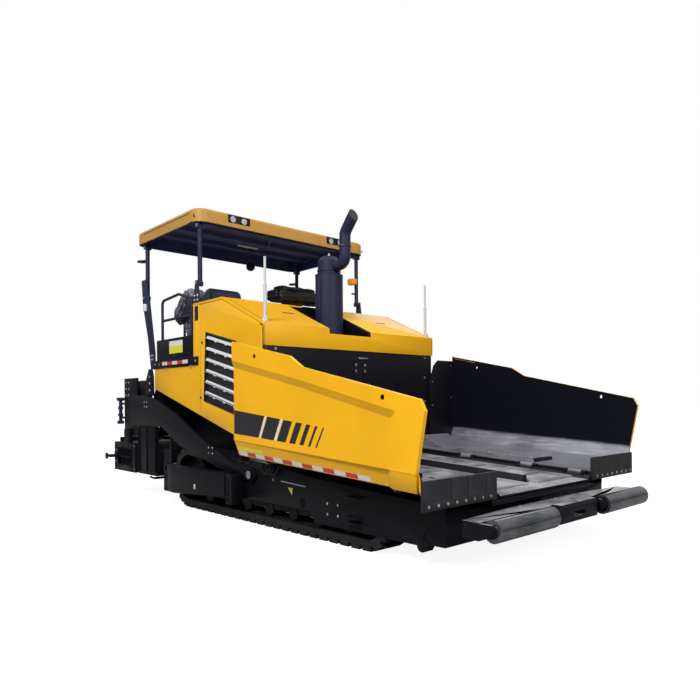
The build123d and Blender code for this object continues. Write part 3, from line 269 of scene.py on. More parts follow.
def build_finishes(colours):
    """every material of the machine, by name"""
    body, dark, slate = tuple(colours.body), tuple(colours.dark), tuple(colours.slate)
    steels = (
        ("floor_steel", "Rubbed hopper floor", (0.17, 0.172, 0.192), (0.40, 0.405, 0.435), 0.38,
         (0.15, 1, 1), 0.3),
        ("roller_steel", "Push roller steel", (0.085, 0.088, 0.100), (0.19, 0.195, 0.215), 0.17,
         (1, 0.1, 1), 0.85),
        ("bright_steel", "Bright steel", (0.42, 0.42, 0.44), (0.62, 0.62, 0.64), 0.22, (1, 1, 0.1), 1.0),
        ("bolt_steel", "Plated bolts", (0.40, 0.40, 0.41), (0.62, 0.62, 0.62), 0.32, (1, 1, 1), 0.9),
    )
    paints = (
        ("body", "Body paint", body, 0.34, 0.05, 0.02, 0.28),
        # painted shade: a darker copy of the body paint for the pressed slopes that face down
        ("fold", "Body paint in the folds", shade(body, 0.84), 0.38, 0.03, 0.02, 0.2),
        ("roof", "Roof paint", (0.52, 0.275, 0.055), 0.42, 0.05, 0.10, 0.3),
        ("dark", "Frame paint", dark, 0.36, 0.0, 0.01, 0.14),
        # painted light: the roof lining's strong blue stands for the skylight under the roof
        ("under", "Roof lining paint", (0.040, 0.049, 0.145), 0.6, 0.0, 0.02, 0.2),
        ("slate", "Slate paint", slate, 0.48, 0.0, 0.03, 0.22),
        ("pale", "Pale pole paint", (0.62, 0.63, 0.64), 0.35, 0.2, 0.2),
        ("slat_steel", "Silver slat paint", (0.66, 0.67, 0.70), 0.34, 0.2, 0.12),
        ("sticker", "Dark decal film", (0.010, 0.010, 0.014), 0.36, 0.1, 0.05),
        ("sticker_white", "Pale decal film", (0.70, 0.71, 0.72), 0.36, 0.1, 0.05),
        ("amber", "Amber lamp glass", (0.85, 0.30, 0.02), 0.2, 0.6, 0.02),
    )
    castings = (
        ("track_steel", "Track steel", (0.010, 0.010, 0.012), 0.5, 0.10),
        ("rubber", "Rubber", (0.014, 0.0145, 0.019), 0.5, 0.04),
        ("hose", "Hose rubber", (0.010, 0.010, 0.012), 0.5, 0.10),
        ("cover", "Console cover", (0.004, 0.0045, 0.008), 0.55, 0.03),
    )
    for build, rows in ((painted, paints), (worn, steels), (cast, castings)):
        for key, *values in rows:
            FINISHES[key] = build(*values)
    FINISHES["lining"] = lining("Hopper lining", (0.0045, 0.005, 0.010), (0.36, 0.365, 0.41))
    FINISHES["tread"] = tread("Tread plate", (0.02, 0.02, 0.024))
    made = Finish("Radiator mesh", 0.6, 0.2)
    hole = made.cells(90.0).over(0.25, 0.4)
    colour = made.mix(hole, (0.002, 0.002, 0.002), (0.016, 0.016, 0.018))
    FINISHES["mesh"] = made.finished(colour, None, hole, 0.3, 0.001)
    for key, colour in (("white", (0.72, 0.72, 0.74)), ("red", (0.62, 0.02, 0.02))):
        made = Finish("Reflective " + key, 0.3, 0.0, 0.4)
        edge = made.cells(160.0, feature="DISTANCE_TO_EDGE").over(0.02, 0.1)
        FINISHES["tape_" + key] = made.finished(
            made.mix(edge, shade(colour, 0.8), colour), None, edge, 0.1, 0.0005
        )
    for key, colour in (("white", (0.75, 0.76, 0.76)), ("yellow", (0.80, 0.72, 0.05))):
        made = Finish("Blank " + key + " plate", 0.4)
        stain = made.noise(40.0, 3.0).over(0.4, 0.7)
        FINISHES["plate_" + key] = made.finished(made.mix(stain, shade(colour, 0.9), colour))
    made = Finish("Cushion covering", 0.55)
    grain = made.noise(420.0, 3.0)
    colour = made.mix(grain, (0.12, 0.125, 0.14), (0.20, 0.205, 0.22))
    FINISHES["seat"] = made.finished(colour, None, grain, 0.2, 0.001)
    made = Finish("Creased film", 0.3, 0.0, 0.2)
    crease = made.noise(5.0, 3.0, (1, 1, 0.3))
    colour = made.mix(crease.over(0.40, 0.60), (0.13, 0.133, 0.15), (0.30, 0.305, 0.33))
    FINISHES["film"] = made.finished(colour, None, crease, 0.5, 0.008)
    made = Finish("Lamp lens", 0.12, 0.0, 0.6)
    spot = made.cells(70.0)
    colour = made.mix(spot.over(0.0, 0.7), (0.75, 0.78, 0.82), (0.30, 0.33, 0.37))
    FINISHES["lens"] = made.finished(colour, None, spot, 0.4, 0.002)


# Mesh building

def circle(centre, turned, radius, sides):
    """evenly spaced points round a place, square to a turned axis"""
    angles = [2 * math.pi * i / sides for i in range(sides)]
    return [Vector(centre) + turned @ Vector((radius * math.cos(a), radius * math.sin(a), 0)) for a in angles]


def as_object(name, work):
    """a new object from a bmesh, which is freed"""
    mesh = bpy.data.meshes.new(name)
    work.to_mesh(mesh)
    work.free()
    return linked(name, mesh)


def linked(name, data):
    """a new object in the scene"""
    made = bpy.data.objects.new(name, data)
    bpy.context.scene.collection.objects.link(made)
    return made


class Mould:
    """A mesh under construction, in metres in the row frame or in one placed in it."""

    def __init__(self, place=None, mesh=None):
        self.mesh = mesh or bmesh.new()
        self.place = place or Matrix()

    def loft(self, *sections):
        """closed loops of equally many points, joined in order and capped"""
        loops = [[self.mesh.verts.new(self.place @ Vector(p)) for p in points] for points in sections]
        for low, high in zip(loops, loops[1:]):
            for i in range(len(low)):
                j = (i + 1) % len(low)
                self.mesh.faces.new((low[i], low[j], high[j], high[i]))
        self.mesh.faces.new(loops[0][::-1])
        self.mesh.faces.new(loops[-1])
        return self

    def prism(self, outline, axis, low, high):
        """an outline pushed along an axis; the outline holds the other two coordinates in order"""
        i = "xyz".index(axis)
        return self.loft(*([(*p[:i], depth, *p[i:]) for p in outline] for depth in (low, high)))

    def box(self, one, other):
        """a block between two opposite corners"""
        (x0, x1), (y0, y1), (z0, z1) = (sorted(pair) for pair in zip(one, other))
        return self.prism([(x0, y0), (x1, y0), (x1, y1), (x0, y1)], "z", z0, z1)

    def rod(self, start, end, radius, sides=16):
        """a round bar between two places"""
        turned = (Vector(end) - Vector(start)).normalized().to_track_quat("Z", "Y")
        return self.loft(*(circle(place, turned, radius, sides) for place in (start, end)))

    def lathe(self, profile, foot, direction, sides=32):
        """a closed turned shape; the profile gives the way along the axis and the radius"""
        axis = Vector(direction).normalized()
        turned = axis.to_track_quat("Z", "Y")
        return self.loft(*(circle(Vector(foot) + axis * w, turned, r, sides) for w, r in profile))

    def pipe(self, points, radius, sides=12, steps=6):
        """a round bar along a path whose corners are eased"""
        path = eased(points, steps)
        rings = []
        spin = None
        for i, point in enumerate(path):
            way = (path[min(i + 1, len(path) - 1)] - path[max(i - 1, 0)]).normalized()
            if spin is None:
                spin = way.to_track_quat("Z", "Y")
            else:
                spin = (spin @ Vector((0, 0, 1))).rotation_difference(way) @ spin
            rings.append(circle(point, spin, radius, sides))
        return self.loft(*rings)

    def cut(self, place, way):
        """take off what lies past a plane and close the end"""
        parts = self.mesh.verts[:] + self.mesh.edges[:] + self.mesh.faces[:]
        bmesh.ops.bisect_plane(self.mesh, geom=parts, plane_co=place, plane_no=way, clear_outer=True)
        bmesh.ops.holes_fill(self.mesh, edges=[e for e in self.mesh.edges if e.is_boundary])
        return self

    def placed(self, name):
        """the mesh as an object, its faces outward"""
        bmesh.ops.recalc_face_normals(self.mesh, faces=self.mesh.faces)
        return as_object(name, self.mesh)

    def done(self, name, finish, body, edge=0.0, replaces=(), smooth=35.0):
        """turn the mesh into a finished piece that rides on a body"""
        return settle(self.placed(name), finish, body, edge, replaces, smooth)


def eased(points, steps):
    """a path with its corners rounded by short curves"""
    points = [Vector(p) for p in points]
    path = [points[0]]
    for before, here, after in zip(points, points[1:], points[2:]):
        reach = min((before - here).length, (after - here).length) * 0.4
        start = here + (before - here).normalized() * reach
        end = here + (after - here).normalized() * reach
        for k in range(steps + 1):
            t = k / steps
            path.append(start * (1 - t) ** 2 + here * 2 * t * (1 - t) + end * t * t)
    path.append(points[-1])
    return path


def bake(piece):
    """apply a piece's modifiers to a plain mesh"""
    bpy.context.view_layer.update()
    graph = bpy.context.evaluated_depsgraph_get()
    mesh = bpy.data.meshes.new_from_object(piece.evaluated_get(graph))
    old = piece.data
    piece.modifiers.clear()
    piece.data = mesh
    if old.users == 0:
        bpy.data.meshes.remove(old)


def crisp(mesh, angle):
    """smooth faces with sharp edges past an angle in degrees"""
    work = bmesh.new()
    work.from_mesh(mesh)
    for face in work.faces:
        face.smooth = True
    for edge in work.edges:
        edge.smooth = len(edge.link_faces) == 2 and edge.calc_face_angle(0.0) < math.radians(angle)
    work.to_mesh(mesh)
    work.free()


def settle(piece, finish, body, edge=0.0, replaces=(), smooth=35.0):
    """ease the edges, shade and paint a piece, and let it ride on its body"""
    if edge:
        bevel = piece.modifiers.new("Edges", "BEVEL")
        bevel.width = edge
        bevel.segments = 2
        bevel.limit_method = "ANGLE"
        bevel.angle_limit = math.radians(38)
        bake(piece)
    crisp(piece.data, smooth)
    piece.data.materials.clear()
    piece.data.materials.append(FINISHES[finish])
    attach(piece, body)
    if replaces:
        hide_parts(*replaces)
    return piece


def widened(work):
    """a wing's copy whose pressed panel gets the wide soft slopes of the pressing"""
    rim_y, panel_y = 1.630, 1.608
    for vert in work.verts:
        x, y, z = vert.co
        if abs(abs(y) - rim_y) < 0.0006 and z < 0.95 and x < 2.75:
            vert.co.y = math.copysign(1.6105, y)
            continue
        top = 1.652 - 0.2 * (x - 0.62) if x < 1.70 else 1.439 - 0.2203 * (x - 1.70)
        if abs(abs(y) - panel_y) > 0.0006 or z > top - 0.012 or x > 2.80:
            continue
        if z > top - 0.06:
            vert.co.z -= 0.040
        elif z > 1.0:
            continue
        if x > 2.60:
            vert.co.x -= 0.042
            vert.co.z += 0.009 if z > 1.0 else 0.003


def wrapped(work):
    """a track guard's copy with a rounder rear end and a foot that rises to the front"""
    for vert in work.verts:
        x, y, z = vert.co
        for old, new, reach in ((-1.43, -1.20, 1.36), (-1.42, -1.19, 1.36), (-1.485, -1.44, 1.32)):
            if abs(x - old) < 0.004 and abs(y) > reach:
                vert.co.x = new
                break
        if z < 0.26:
            vert.co.z += 0.075 * max(0.0, min(1.0, (x + 1.3) / 1.3))


def notched(work):
    """the hood's copy with the notch round the muffler wider towards the right side"""
    for vert in work.verts:
        if 0.224 < abs(vert.co.y) < 0.245 and vert.co.x > -0.25:
            vert.co.y -= 0.19 if vert.co.y < 0 else 0.045


def rounded_copy(node, finish, body, edge, shape=None):
    """a CAD node's own shape with eased edges, in the node's place"""
    work = bmesh.new()
    work.from_mesh(NODES[node].data)
    bmesh.ops.remove_doubles(work, verts=work.verts, dist=0.00002)
    bmesh.ops.dissolve_limit(
        work, angle_limit=math.radians(0.6), verts=work.verts, edges=work.edges, delimit={"NORMAL"}
    )
    if shape:
        shape(work)
    smooth = 11 if shape is widened else 35
    return Mould(mesh=work).done(node + "_panel", finish, body, edge, (node,), smooth)


def tone(piece, finish, test):
    """give another finish to the faces whose centre and direction pass a test"""
    mesh = piece.data
    mesh.materials.append(FINISHES[finish])
    index = len(mesh.materials) - 1
    for face in mesh.polygons:
        if test(face.center, face.normal):
            face.material_index = index


def paint_node(node, finish):
    """give a CAD node its finish"""
    mesh = NODES[node].data
    mesh.materials.clear()
    mesh.materials.append(FINISHES[finish])


# Geometry Nodes

def tree_with(name, inputs):
    """an empty Geometry Nodes tree with named inputs"""
    tree = bpy.data.node_groups.new(name, "GeometryNodeTree")
    tree.interface.new_socket("Geometry", in_out="INPUT", socket_type="NodeSocketGeometry")
    for label, kind, value in inputs:
        made = tree.interface.new_socket(label, in_out="INPUT", socket_type=kind)
        if value is not None:
            made.default_value = value
    tree.interface.new_socket("Geometry", in_out="OUTPUT", socket_type="NodeSocketGeometry")
    return tree, tree.nodes.new("NodeGroupInput").outputs


def add_to(tree, kind, settings=None, **links):
    """a node in a tree; links name its sockets, and i0, i1 are sockets by number"""
    made = tree.nodes.new(kind)
    for key, value in (settings or {}).items():
        setattr(made, key, value)
    for key, value in links.items():
        socket = made.inputs[int(key[1:]) if key in ("i0", "i1") else key.replace("_", " ")]
        if isinstance(value, bpy.types.NodeSocket):
            tree.links.new(value, socket)
        else:
            socket.default_value = value
    return made


def finish_tree(tree, start, **instances):
    """instances on points made real, with their material, to the tree's end"""
    placed = add_to(tree, "GeometryNodeInstanceOnPoints", **instances)
    real = add_to(tree, "GeometryNodeRealizeInstances", Geometry=placed.outputs[0])
    last = add_to(tree, "GeometryNodeSetMaterial", Geometry=real.outputs[0], Material=start["Finish"])
    add_to(tree, "NodeGroupOutput", i0=last.outputs[0])
    return tree


def heads_tree():
    """hexagon heads on washers, one on each point, standing along the point's own direction"""
    tree, start = tree_with("Bolt heads", (
        ("Half width", "NodeSocketFloat", 0.016), ("Finish", "NodeSocketMaterial", None),
    ))
    radius = start["Half width"]
    times = {"operation": "MULTIPLY"}
    height = add_to(tree, "ShaderNodeMath", times, i0=radius, i1=1.1).outputs[0]
    washer_r = add_to(tree, "ShaderNodeMath", times, i0=radius, i1=1.45).outputs[0]
    head = add_to(tree, "GeometryNodeMeshCylinder", Vertices=6, Radius=radius, Depth=height)
    washer = add_to(tree, "GeometryNodeMeshCylinder", Vertices=14, Radius=washer_r, Depth=0.004)
    both = add_to(tree, "GeometryNodeJoinGeometry", i0=head.outputs["Mesh"])
    tree.links.new(washer.outputs["Mesh"], both.inputs[0])
    way = add_to(tree, "GeometryNodeInputNamedAttribute", {"data_type": "FLOAT_VECTOR"}, Name="way")
    turn = add_to(tree, "FunctionNodeAlignRotationToVector", {"axis": "Z"}, Vector=way.outputs[0])
    return finish_tree(
        tree, start, Points=start["Geometry"], Instance=both.outputs[0], Rotation=turn.outputs[0]
    )


def slats_tree():
    """one slat repeated at an even pitch"""
    tree, start = tree_with("Slats", (
        ("Count", "NodeSocketInt", 7), ("Pitch", "NodeSocketVector", (0.0, 0.0, -0.125)),
        ("Finish", "NodeSocketMaterial", None),
    ))
    line = add_to(
        tree, "GeometryNodeMeshLine", {"mode": "OFFSET"}, Count=start["Count"], Offset=start["Pitch"]
    )
    return finish_tree(tree, start, Points=line.outputs[0], Instance=start["Geometry"])


def run_tree(piece, tree, values):
    """apply a Geometry Nodes tree to a piece, with its inputs by label"""
    modifier = piece.modifiers.new("Nodes", "NODES")
    modifier.node_group = tree
    for item in tree.interface.items_tree:
        if item.item_type == "SOCKET" and item.in_out == "INPUT" and item.name in values:
            modifier[item.identifier] = values[item.name]
    bake(piece)


def bolts(name, places, body, size, finish="bolt_steel"):
    """hexagon heads at places, each with the direction that it points"""
    mesh = bpy.data.meshes.new(name)
    mesh.from_pydata([p for p, way in places], [], [])
    ways = mesh.attributes.new("way", "FLOAT_VECTOR", "POINT")
    for i, (p, way) in enumerate(places):
        ways.data[i].vector = Vector(way).normalized()
    piece = linked(name, mesh)
    tree = bpy.data.node_groups.get("Bolt heads") or heads_tree()
    run_tree(piece, tree, {"Half width": size, "Finish": FINISHES[finish]})
    return settle(piece, finish, body, smooth=30.0)


def repeated(mould, name, finish, body, count, pitch):
    """a shape repeated along a line by Geometry Nodes"""
    piece = mould.placed(name)
    tree = bpy.data.node_groups.get("Slats") or slats_tree()
    run_tree(piece, tree, {"Count": count, "Pitch": pitch, "Finish": FINISHES[finish]})
    return settle(piece, finish, body)


# Shared places, in metres

FALL = math.radians(3)
HINGE_Z = 0.717
# the hopper's own frame: its X falls with the floor, its Z is zero at the wing hinges
HOPPER = Matrix.Translation((0, 0, HINGE_Z)) @ Matrix.Rotation(FALL, 4, "Y")
# up from the hopper's floor, in the row frame
FLOOR_UP = (0.0523, 0, 0.9986)
# the louvre opening of a side door
OPENING = ((-0.635, 2.06), (0.04, 1.905), (0.04, 1.11), (-0.69, 1.27))
# the slanting strip at a wing's foot in the hopper's frame: its low edge, its way up and outward
STRIP_FOOT, STRIP_WAY, STRIP_OUT = (1.552, 0.066), (0.352, 0.936), (0.936, -0.352)


def on_strip(reach, off):
    """a place on the slanting strip, up it and off it"""
    return [f + w * reach + o * off for f, w, o in zip(STRIP_FOOT, STRIP_WAY, STRIP_OUT)]


def hood_at(x):
    """height of the hood's skin at a place along it: level, then falling to the front"""
    level, bend, slope = 2.41, -0.255, 0.355 / 0.825
    return level if x < bend else level - (x - bend) * slope


def in_opening(x, z):
    """whether a place on a side door lies in its louvre opening"""
    top_slope, foot_slope, front = 0.2296, 0.2192, 0.04
    return -0.7 < x < 0.041 and 1.905 - (x - front) * top_slope > z > 1.11 - (x - front) * foot_slope


def floor_heads(s, places, across, lift):
    """bolt places on the hopper's floor, a lift above the wings' hinge line"""
    return [(tuple(HOPPER @ Vector((u, s * y, lift))), FLOOR_UP) for u in places for y in across]


def side_heads(s, y, places):
    """bolt places on a side plane, each given by X and Z"""
    return [((x, s * y, z), (0, s, 0)) for x, z in places]


def four(x, z, dx, dz, y, s):
    """four bolt places in a rectangle on a side"""
    return side_heads(s, y, [(x + i * dx, z + k * dz) for i in (-0.5, 0.5) for k in (-0.5, 0.5)])


# Pieces

LAMPS = (
    ("key", (4.0, -9.5, 9.0), (0.5, 0.0, 1.0), 2.5, 1080.0),
    ("front", (13.0, -1.0, 6.0), (0.5, 0.0, 1.0), 5.0, 480.0),
    ("top", (1.0, 3.0, 12.0), (0.5, 0.0, 0.0), 8.0, 170.0),
    ("back", (-7.0, 13.0, 4.2), (1.0, 0.0, 0.8), 9.0, 370.0),
)


class PAVER_OT_stage(bpy.types.Operator):
    """Floor, sky, lamps and the photograph's camera"""
    bl_idname = "paver.stage"
    bl_label = "Stage and camera"

    def execute(self, context):
        scene = context.scene
        scene.view_settings.view_transform = "Standard"
        self.floor(scene.paver_sizes.floor)
        scene.world = self.sky()
        for name, place, aim, size, power in LAMPS:
            lamp = bpy.data.lights.new(name, "AREA")
            lamp.size = size
            lamp.energy = power
            holder = linked(name, lamp)
            holder.location = place
            holder.rotation_euler = (Vector(aim) - Vector(place)).to_track_quat("-Z", "Y").to_euler()
        scene.camera = self.camera()
        return {"FINISHED"}

    def floor(self, reach):
        """a pale floor that the camera sees white, with the shadow kept"""
        ground = Mould().box((-reach, -reach, -0.02), (reach, reach, 0.0)).placed("floor")
        made = Finish("Pale floor", 0.9)
        made.finished(made.mix(made.noise(0.6, 4.0), (0.29, 0.29, 0.29), (0.31, 0.31, 0.31)))
        seen = Num(made, made.tree.nodes.new("ShaderNodeLightPath").outputs["Is Camera Ray"])
        far = (made.axis("x") * made.axis("x") + made.axis("y") * made.axis("y")).over(16.0, 120.0)
        glow = made.node(
            "ShaderNodeEmission", {}, {"Color": (1, 1, 1, 1), "Strength": seen * (far * 0.12 + 0.90)}
        )
        total = made.node("ShaderNodeAddShader", {}, {0: made.shader.outputs[0], 1: glow.outputs[0]})
        made.feed(made.out.inputs[0], total.outputs[0])
        ground.data.materials.append(made.material)

    def sky(self):
        """white to the camera; to other rays dim at the horizon and brighter overhead"""
        world = bpy.data.worlds.new("Sky")
        world.use_nodes = True
        tree = world.node_tree
        tree.nodes.clear()
        path = tree.nodes.new("ShaderNodeLightPath").outputs
        either = add_to(
            tree, "ShaderNodeMath", {"operation": "MAXIMUM"},
            i0=path["Is Camera Ray"], i1=path["Is Transmission Ray"],
        )
        way = tree.nodes.new("ShaderNodeTexCoord").outputs["Generated"]
        height = add_to(tree, "ShaderNodeSeparateXYZ", i0=way).outputs["Z"]
        dome = add_to(
            tree, "ShaderNodeMapRange", From_Min=0.05, From_Max=0.55, To_Min=0.10, To_Max=0.70, Value=height
        )
        share = add_to(
            tree, "ShaderNodeMapRange", To_Max=1.0, To_Min=dome.outputs[0], Value=either.outputs[0]
        )
        light = add_to(tree, "ShaderNodeBackground", Color=(1, 1, 1, 1), Strength=share.outputs[0])
        add_to(tree, "ShaderNodeOutputWorld", i0=light.outputs[0])
        return world

    def camera(self):
        """the photograph's camera; the picture is a crop, so its middle is shifted"""
        lens = bpy.data.cameras.new("camera")
        lens.sensor_width = 36.0
        lens.lens = 32.07
        lens.shift_x = -0.0715
        lens.shift_y = 0.0715
        lens.clip_end = 400.0
        camera = linked("camera", lens)
        right = Vector((0.705409, 0.708766, -0.006991)).normalized()
        ahead = Vector((-0.708783, 0.705427, 0.000169)).normalized()
        up = right.cross(ahead).normalized()
        turn = Matrix((right, up, -ahead)).transposed()
        camera.matrix_world = Matrix.Translation((5.9315, -4.6781, 1.2673)) @ turn.to_4x4()
        return camera


# node, finish, body, edge radius over the set one
PANELS = (
    ("hood", "body", "chassis", 1.5),
    ("side_door_left", "body", "door_l", 0.8),
    ("side_door_right", "body", "door_r", 0.8),
    ("side_panels", "body", "chassis", 1.0),
    ("canopy", "roof", "roof", 0.0),
    ("push_beam", "dark", "push_bar", 1.2),
    ("bulkhead", "dark", "chassis", 0.5),
    ("platform", "dark", "chassis", 1.0),
    ("side_boxes", "dark", "chassis", 2.5),
    ("post_brackets", "slate", "chassis", 0.6),
    ("tow_arms", "dark", "screed_unit", 1.0),
    ("screed", "dark", "screed_unit", 1.2),
    ("screed_extension_left", "dark", "extension_l", 1.0),
    ("screed_extension_right", "dark", "extension_r", 1.0),
    ("hopper_frame", "dark", "chassis", 1.0),
    ("hopper_floor", "floor_steel", "chassis", 0.4),
    ("hopper_flap_left", "rubber", "wing_l", 0.4),
    ("hopper_flap_right", "rubber", "wing_r", 0.4),
    ("track_guard_left", "dark", "guard_l", 1.0),
    ("track_guard_right", "dark", "guard_r", 1.0),
    ("guard_ears", "dark", "chassis", 0.6),
    ("wing_left", "body", "wing_l", 0.5),
    ("wing_right", "body", "wing_r", 0.5),
)

# nodes that stay as they are, by finish
KEPT = (
    ("dark", "main_frame tanks engine track_frames track_wheels auger_frame tow_points"),
    ("dark", "wing_barrel_left wing_barrel_right lift_barrels"),
    ("track_steel", "track_left track_right"),
    ("slate", "muffler tail_pipe front_posts rear_posts handrails"),
    ("pale", "marker_poles"), ("seat", "seats"), ("cover", "consoles"), ("lens", "roof_lamps"),
    ("floor_steel", "conveyors"), ("bright_steel", "lift_rods"),
    ("roller_steel", "push_roller_left push_roller_right auger_left auger_right"),
    ("roller_steel", "wing_rod_left wing_rod_right"),
)

SHAPES = {
    "hood": notched, "wing_left": widened, "wing_right": widened,
    "track_guard_left": wrapped, "track_guard_right": wrapped,
}


class PAVER_OT_plates(bpy.types.Operator):
    """The frame's own plates with eased edges, and a finish on every node"""
    bl_idname = "paver.plates"
    bl_label = "Plates and finishes"

    def execute(self, context):
        edge = context.scene.paver_sizes.edge
        build_finishes(context.scene.paver_colours)
        for finish, nodes in KEPT:
            for node in nodes.split():
                paint_node(node, finish)
        panels = {}
        for node, finish, body, share in PANELS:
            paint_node(node, finish)
            panels[node] = rounded_copy(node, finish, body, edge * share, SHAPES.get(node))
        for side, s, _ in SIDES:
            wing, door = panels["wing_" + side], panels["side_door_" + side]
            tone(wing, "lining", lambda c, n: abs(c.y) < 1.50
                 or n.y * s < 0.3 and (abs(c.y) < 1.6045 or n.y * s < -0.3 and c.z > 1.0))
            # painted shade on the wings' pressed slopes that face down
            tone(wing, "fold", lambda c, n: abs(c.y) > 1.606 and n.y * s > 0.6 and n.z < -0.15)
            tone(wing, "dark", lambda c, n: abs(c.y) < 1.50 and abs(n.x) > 0.8 and c.z < 0.80)
            # the walls of the lashing holes, painted dark as the shade inside them
            tone(wing, "dark", lambda c, n: abs(n.y) < 0.2 and any(
                (c.x - x) ** 2 + (c.z - z) ** 2 < 0.00055 for x, z in ((1.0, 1.675), (2.69, 1.29))))
            tone(door, "dark", lambda c, n: abs(abs(c.y) - 1.235) < 0.0128 and in_opening(c.x, c.z))
            tone(door, "dark", lambda c, n: c.x > 0.53 and n.x > 0.1)
        # the roof's inside, without the outer faces of its corners: a dark lining whose strong blue is
        # painted skylight
        tone(panels["canopy"], "under", lambda c, n: n.z < -0.5
             or -2.44 < c.x < -0.78 and abs(c.y) < 1.26 and c.z < 3.49
             and not (abs(n.x) > 0.2 and n.y * c.y > 0.2))
        tone(panels["hood"], "dark", lambda c, n: -0.426 < c.y < 0.191 and -0.2 < c.x < 0.565 and n.z < 0.5)
        # painted reflection: the push beam's black top faces get the light rubbed floor steel, standing for
        # the sky's reflection on them
        tone(panels["push_beam"], "floor_steel", lambda c, n: n.z > 0.9)
        tone(panels["hopper_floor"], "dark", lambda c, n: abs(n.y) > 0.5 or abs(n.x) > 0.7 or abs(c.y) > 0.70)
        tone(panels["platform"], "tread", lambda c, n: n.z > 0.9 and abs(c.y) < 1.2)
        tone(panels["screed"], "tread", lambda c, n: n.z > 0.9 and c.z > 0.78)
        return {"FINISHED"}


class PAVER_OT_hopper(bpy.types.Operator):
    """Trim of the wings, flaps and hopper floor"""
    bl_idname = "paver.hopper"
    bl_label = "Hopper"

    def execute(self, context):
        self.bolt = context.scene.paver_sizes.bolt
        for side, s, key in SIDES:
            wing = "wing_" + key
            self.stripes(side, s, wing)
            self.back(side, s, wing)
            self.foot(side, s, wing)
            self.decals(side, s, wing)
            heads = [((3.0468, s * (0.835 + 0.1 * i), 0.533), (1, 0, 0)) for i in range(8)]
            bolts("flap_bolts_" + side, heads, wing, self.bolt * 0.5)
            # guard strip on the rear part of the wing's upper edge
            outline = [(0.65, 1.797), (0.98, 1.73), (0.98, 1.741), (0.65, 1.808)]
            strip = Mould().prism(outline, "y", s * 1.590, s * 1.597)
            strip.done("wing_guard_strip_" + side, "bright_steel", wing, 0.001)
            self.cover(side, s, wing)
        beam = Mould(HOPPER)
        for s in (1, -1):
            beam.box((0.61, s * 0.812, -0.063), (3.005, s * 0.870, 0.004))
            beam.box((0.61, s * 0.690, -0.068), (3.005, s * 0.815, -0.062))
        beam.done("hinge_beams", "dark", "chassis", 0.003)
        self.floor()
        return {"FINISHED"}

    def cover(self, side, s, wing):
        """worn edges and bolts of the cover plate on the wing's floor"""
        cover = Mould(HOPPER)
        y_in, y_out = s * 0.840, s * 1.198
        for start, end in (
            ((1.33, y_in, 0.0615), (2.33, y_in, 0.0615)), ((1.15, y_in, 0.0155), (1.33, y_in, 0.0615)),
            ((2.33, y_in, 0.0615), (2.33, y_out, 0.0615)), ((1.33, y_out, 0.0615), (2.33, y_out, 0.0615)),
            ((0.965, s * 0.982, 0.016), (0.965, s * 1.458, 0.016)),
            ((0.624, s * 0.982, 0.149), (0.958, s * 0.982, 0.017)),
        ):
            cover.rod(start, end, 0.0022, 6)
        cover.done("wing_worn_edges_" + side, "bright_steel", wing)
        heads = floor_heads(s, (1.42, 1.72, 2.02, 2.26), (0.90, 1.14), 0.0625)
        bolts("wing_cover_bolts_" + side, heads, wing, self.bolt * 0.6)

    def back(self, side, s, wing):
        """the wing's rear wall, square to it, ahead of the bulkhead"""
        face = 0.612
        outline = (
            (1.140, 0.690), (1.144, 1.494), (1.223, 1.704), (1.300, 1.774), (1.592, 1.774), (1.5975, 1.76),
            (1.5975, 0.91), (1.550, 0.755), (1.522, 0.690),
        )
        wall = Mould().prism([(s * y, z) for y, z in outline], "x", 0.604, face)
        wall.done("wing_back_" + side, "dark", wing, 0.001)
        places = ((1.20, 1.50), (1.20, 1.20), (1.56, 1.72), (1.56, 1.30))
        heads = [((face, s * y, z), (1, 0, 0)) for y, z in places]
        bolts("wing_back_bolts_" + side, heads, wing, self.bolt * 0.5)

    def foot(self, side, s, wing):
        """the rim's foot, proud of the slanting strip at the wing's front"""
        def section(u, lift):
            points = []
            for reach, off in ((-0.002, 0.0005), (0.159, 0.0005), (0.159, lift), (-0.002, lift)):
                y, z = on_strip(reach, off)
                points.append((u + (reach - 0.08) * 0.17, s * y, z))
            return points
        made = Mould(HOPPER)
        made.loft(section(2.690, 0.0012), section(2.740, 0.0215), section(2.985, 0.0215))
        made.done("wing_foot_" + side, "body", wing, 0.002)

    def stripes(self, side, s, wing):
        """red and white tape along the foot of the wing, and a blank label over it"""
        pitch, near, far = 0.1431, 0.0003, 0.0013
        for name, finish, steps, low, high, length in (
            ("wing_tape_white_", "tape_white", range(0, 13, 2), 0.008, 0.048, 1),
            ("wing_tape_red_", "tape_red", range(1, 13, 2), 0.008, 0.048, 1),
            ("wing_label_", "plate_yellow", (0,), 0.060, 0.098, 3),
        ):
            made = Mould(HOPPER)
            places = [on_strip(*place) for place in ((low, near), (high, near), (high, far), (low, far))]
            for i in steps:
                u = 0.622 + i * pitch
                made.prism([(s * y, z) for y, z in places], "x", u, u + pitch * length)
            made.done(name + side, finish, wing)

    def decals(self, side, s, wing):
        """plain slanted bars on the wing's pressed panel"""
        def low(x):
            return 0.962 - (x - 0.585) * 0.0575

        def high(x):
            return 1.186 - (x - 0.585) * 0.0959

        dark, pale = Mould(), Mould()
        lean, start = 0.10, 0.607
        skin = (s * 1.6081, s * 1.6089)
        widths = (0.52, 0.20, 0.13, 0.085, 0.055, 0.03, 0.018)
        gaps = (0.045, 0.05, 0.055, 0.06, 0.065, 0.07, 0.07)
        for i, (width, gap) in enumerate(zip(widths, gaps)):
            end = start + width
            foot, last = start if i == 0 else start - lean, end - lean
            foot_line = [(x, low(x)) for x in (foot, last)]
            dark.prism(foot_line + [(end, high(end)), (start, high(start))], "y", *skin)
            if i < 2:
                a, b = last + 0.010, last + gap - 0.010
                top = [(x + lean, high(x + lean)) for x in (b, a)]
                pale.prism([(a, low(a)), (b, low(b))] + top, "y", *skin)
            start = end + gap
        dark.done("wing_bars_dark_" + side, "sticker", wing)
        pale.done("wing_bars_pale_" + side, "sticker_white", wing)

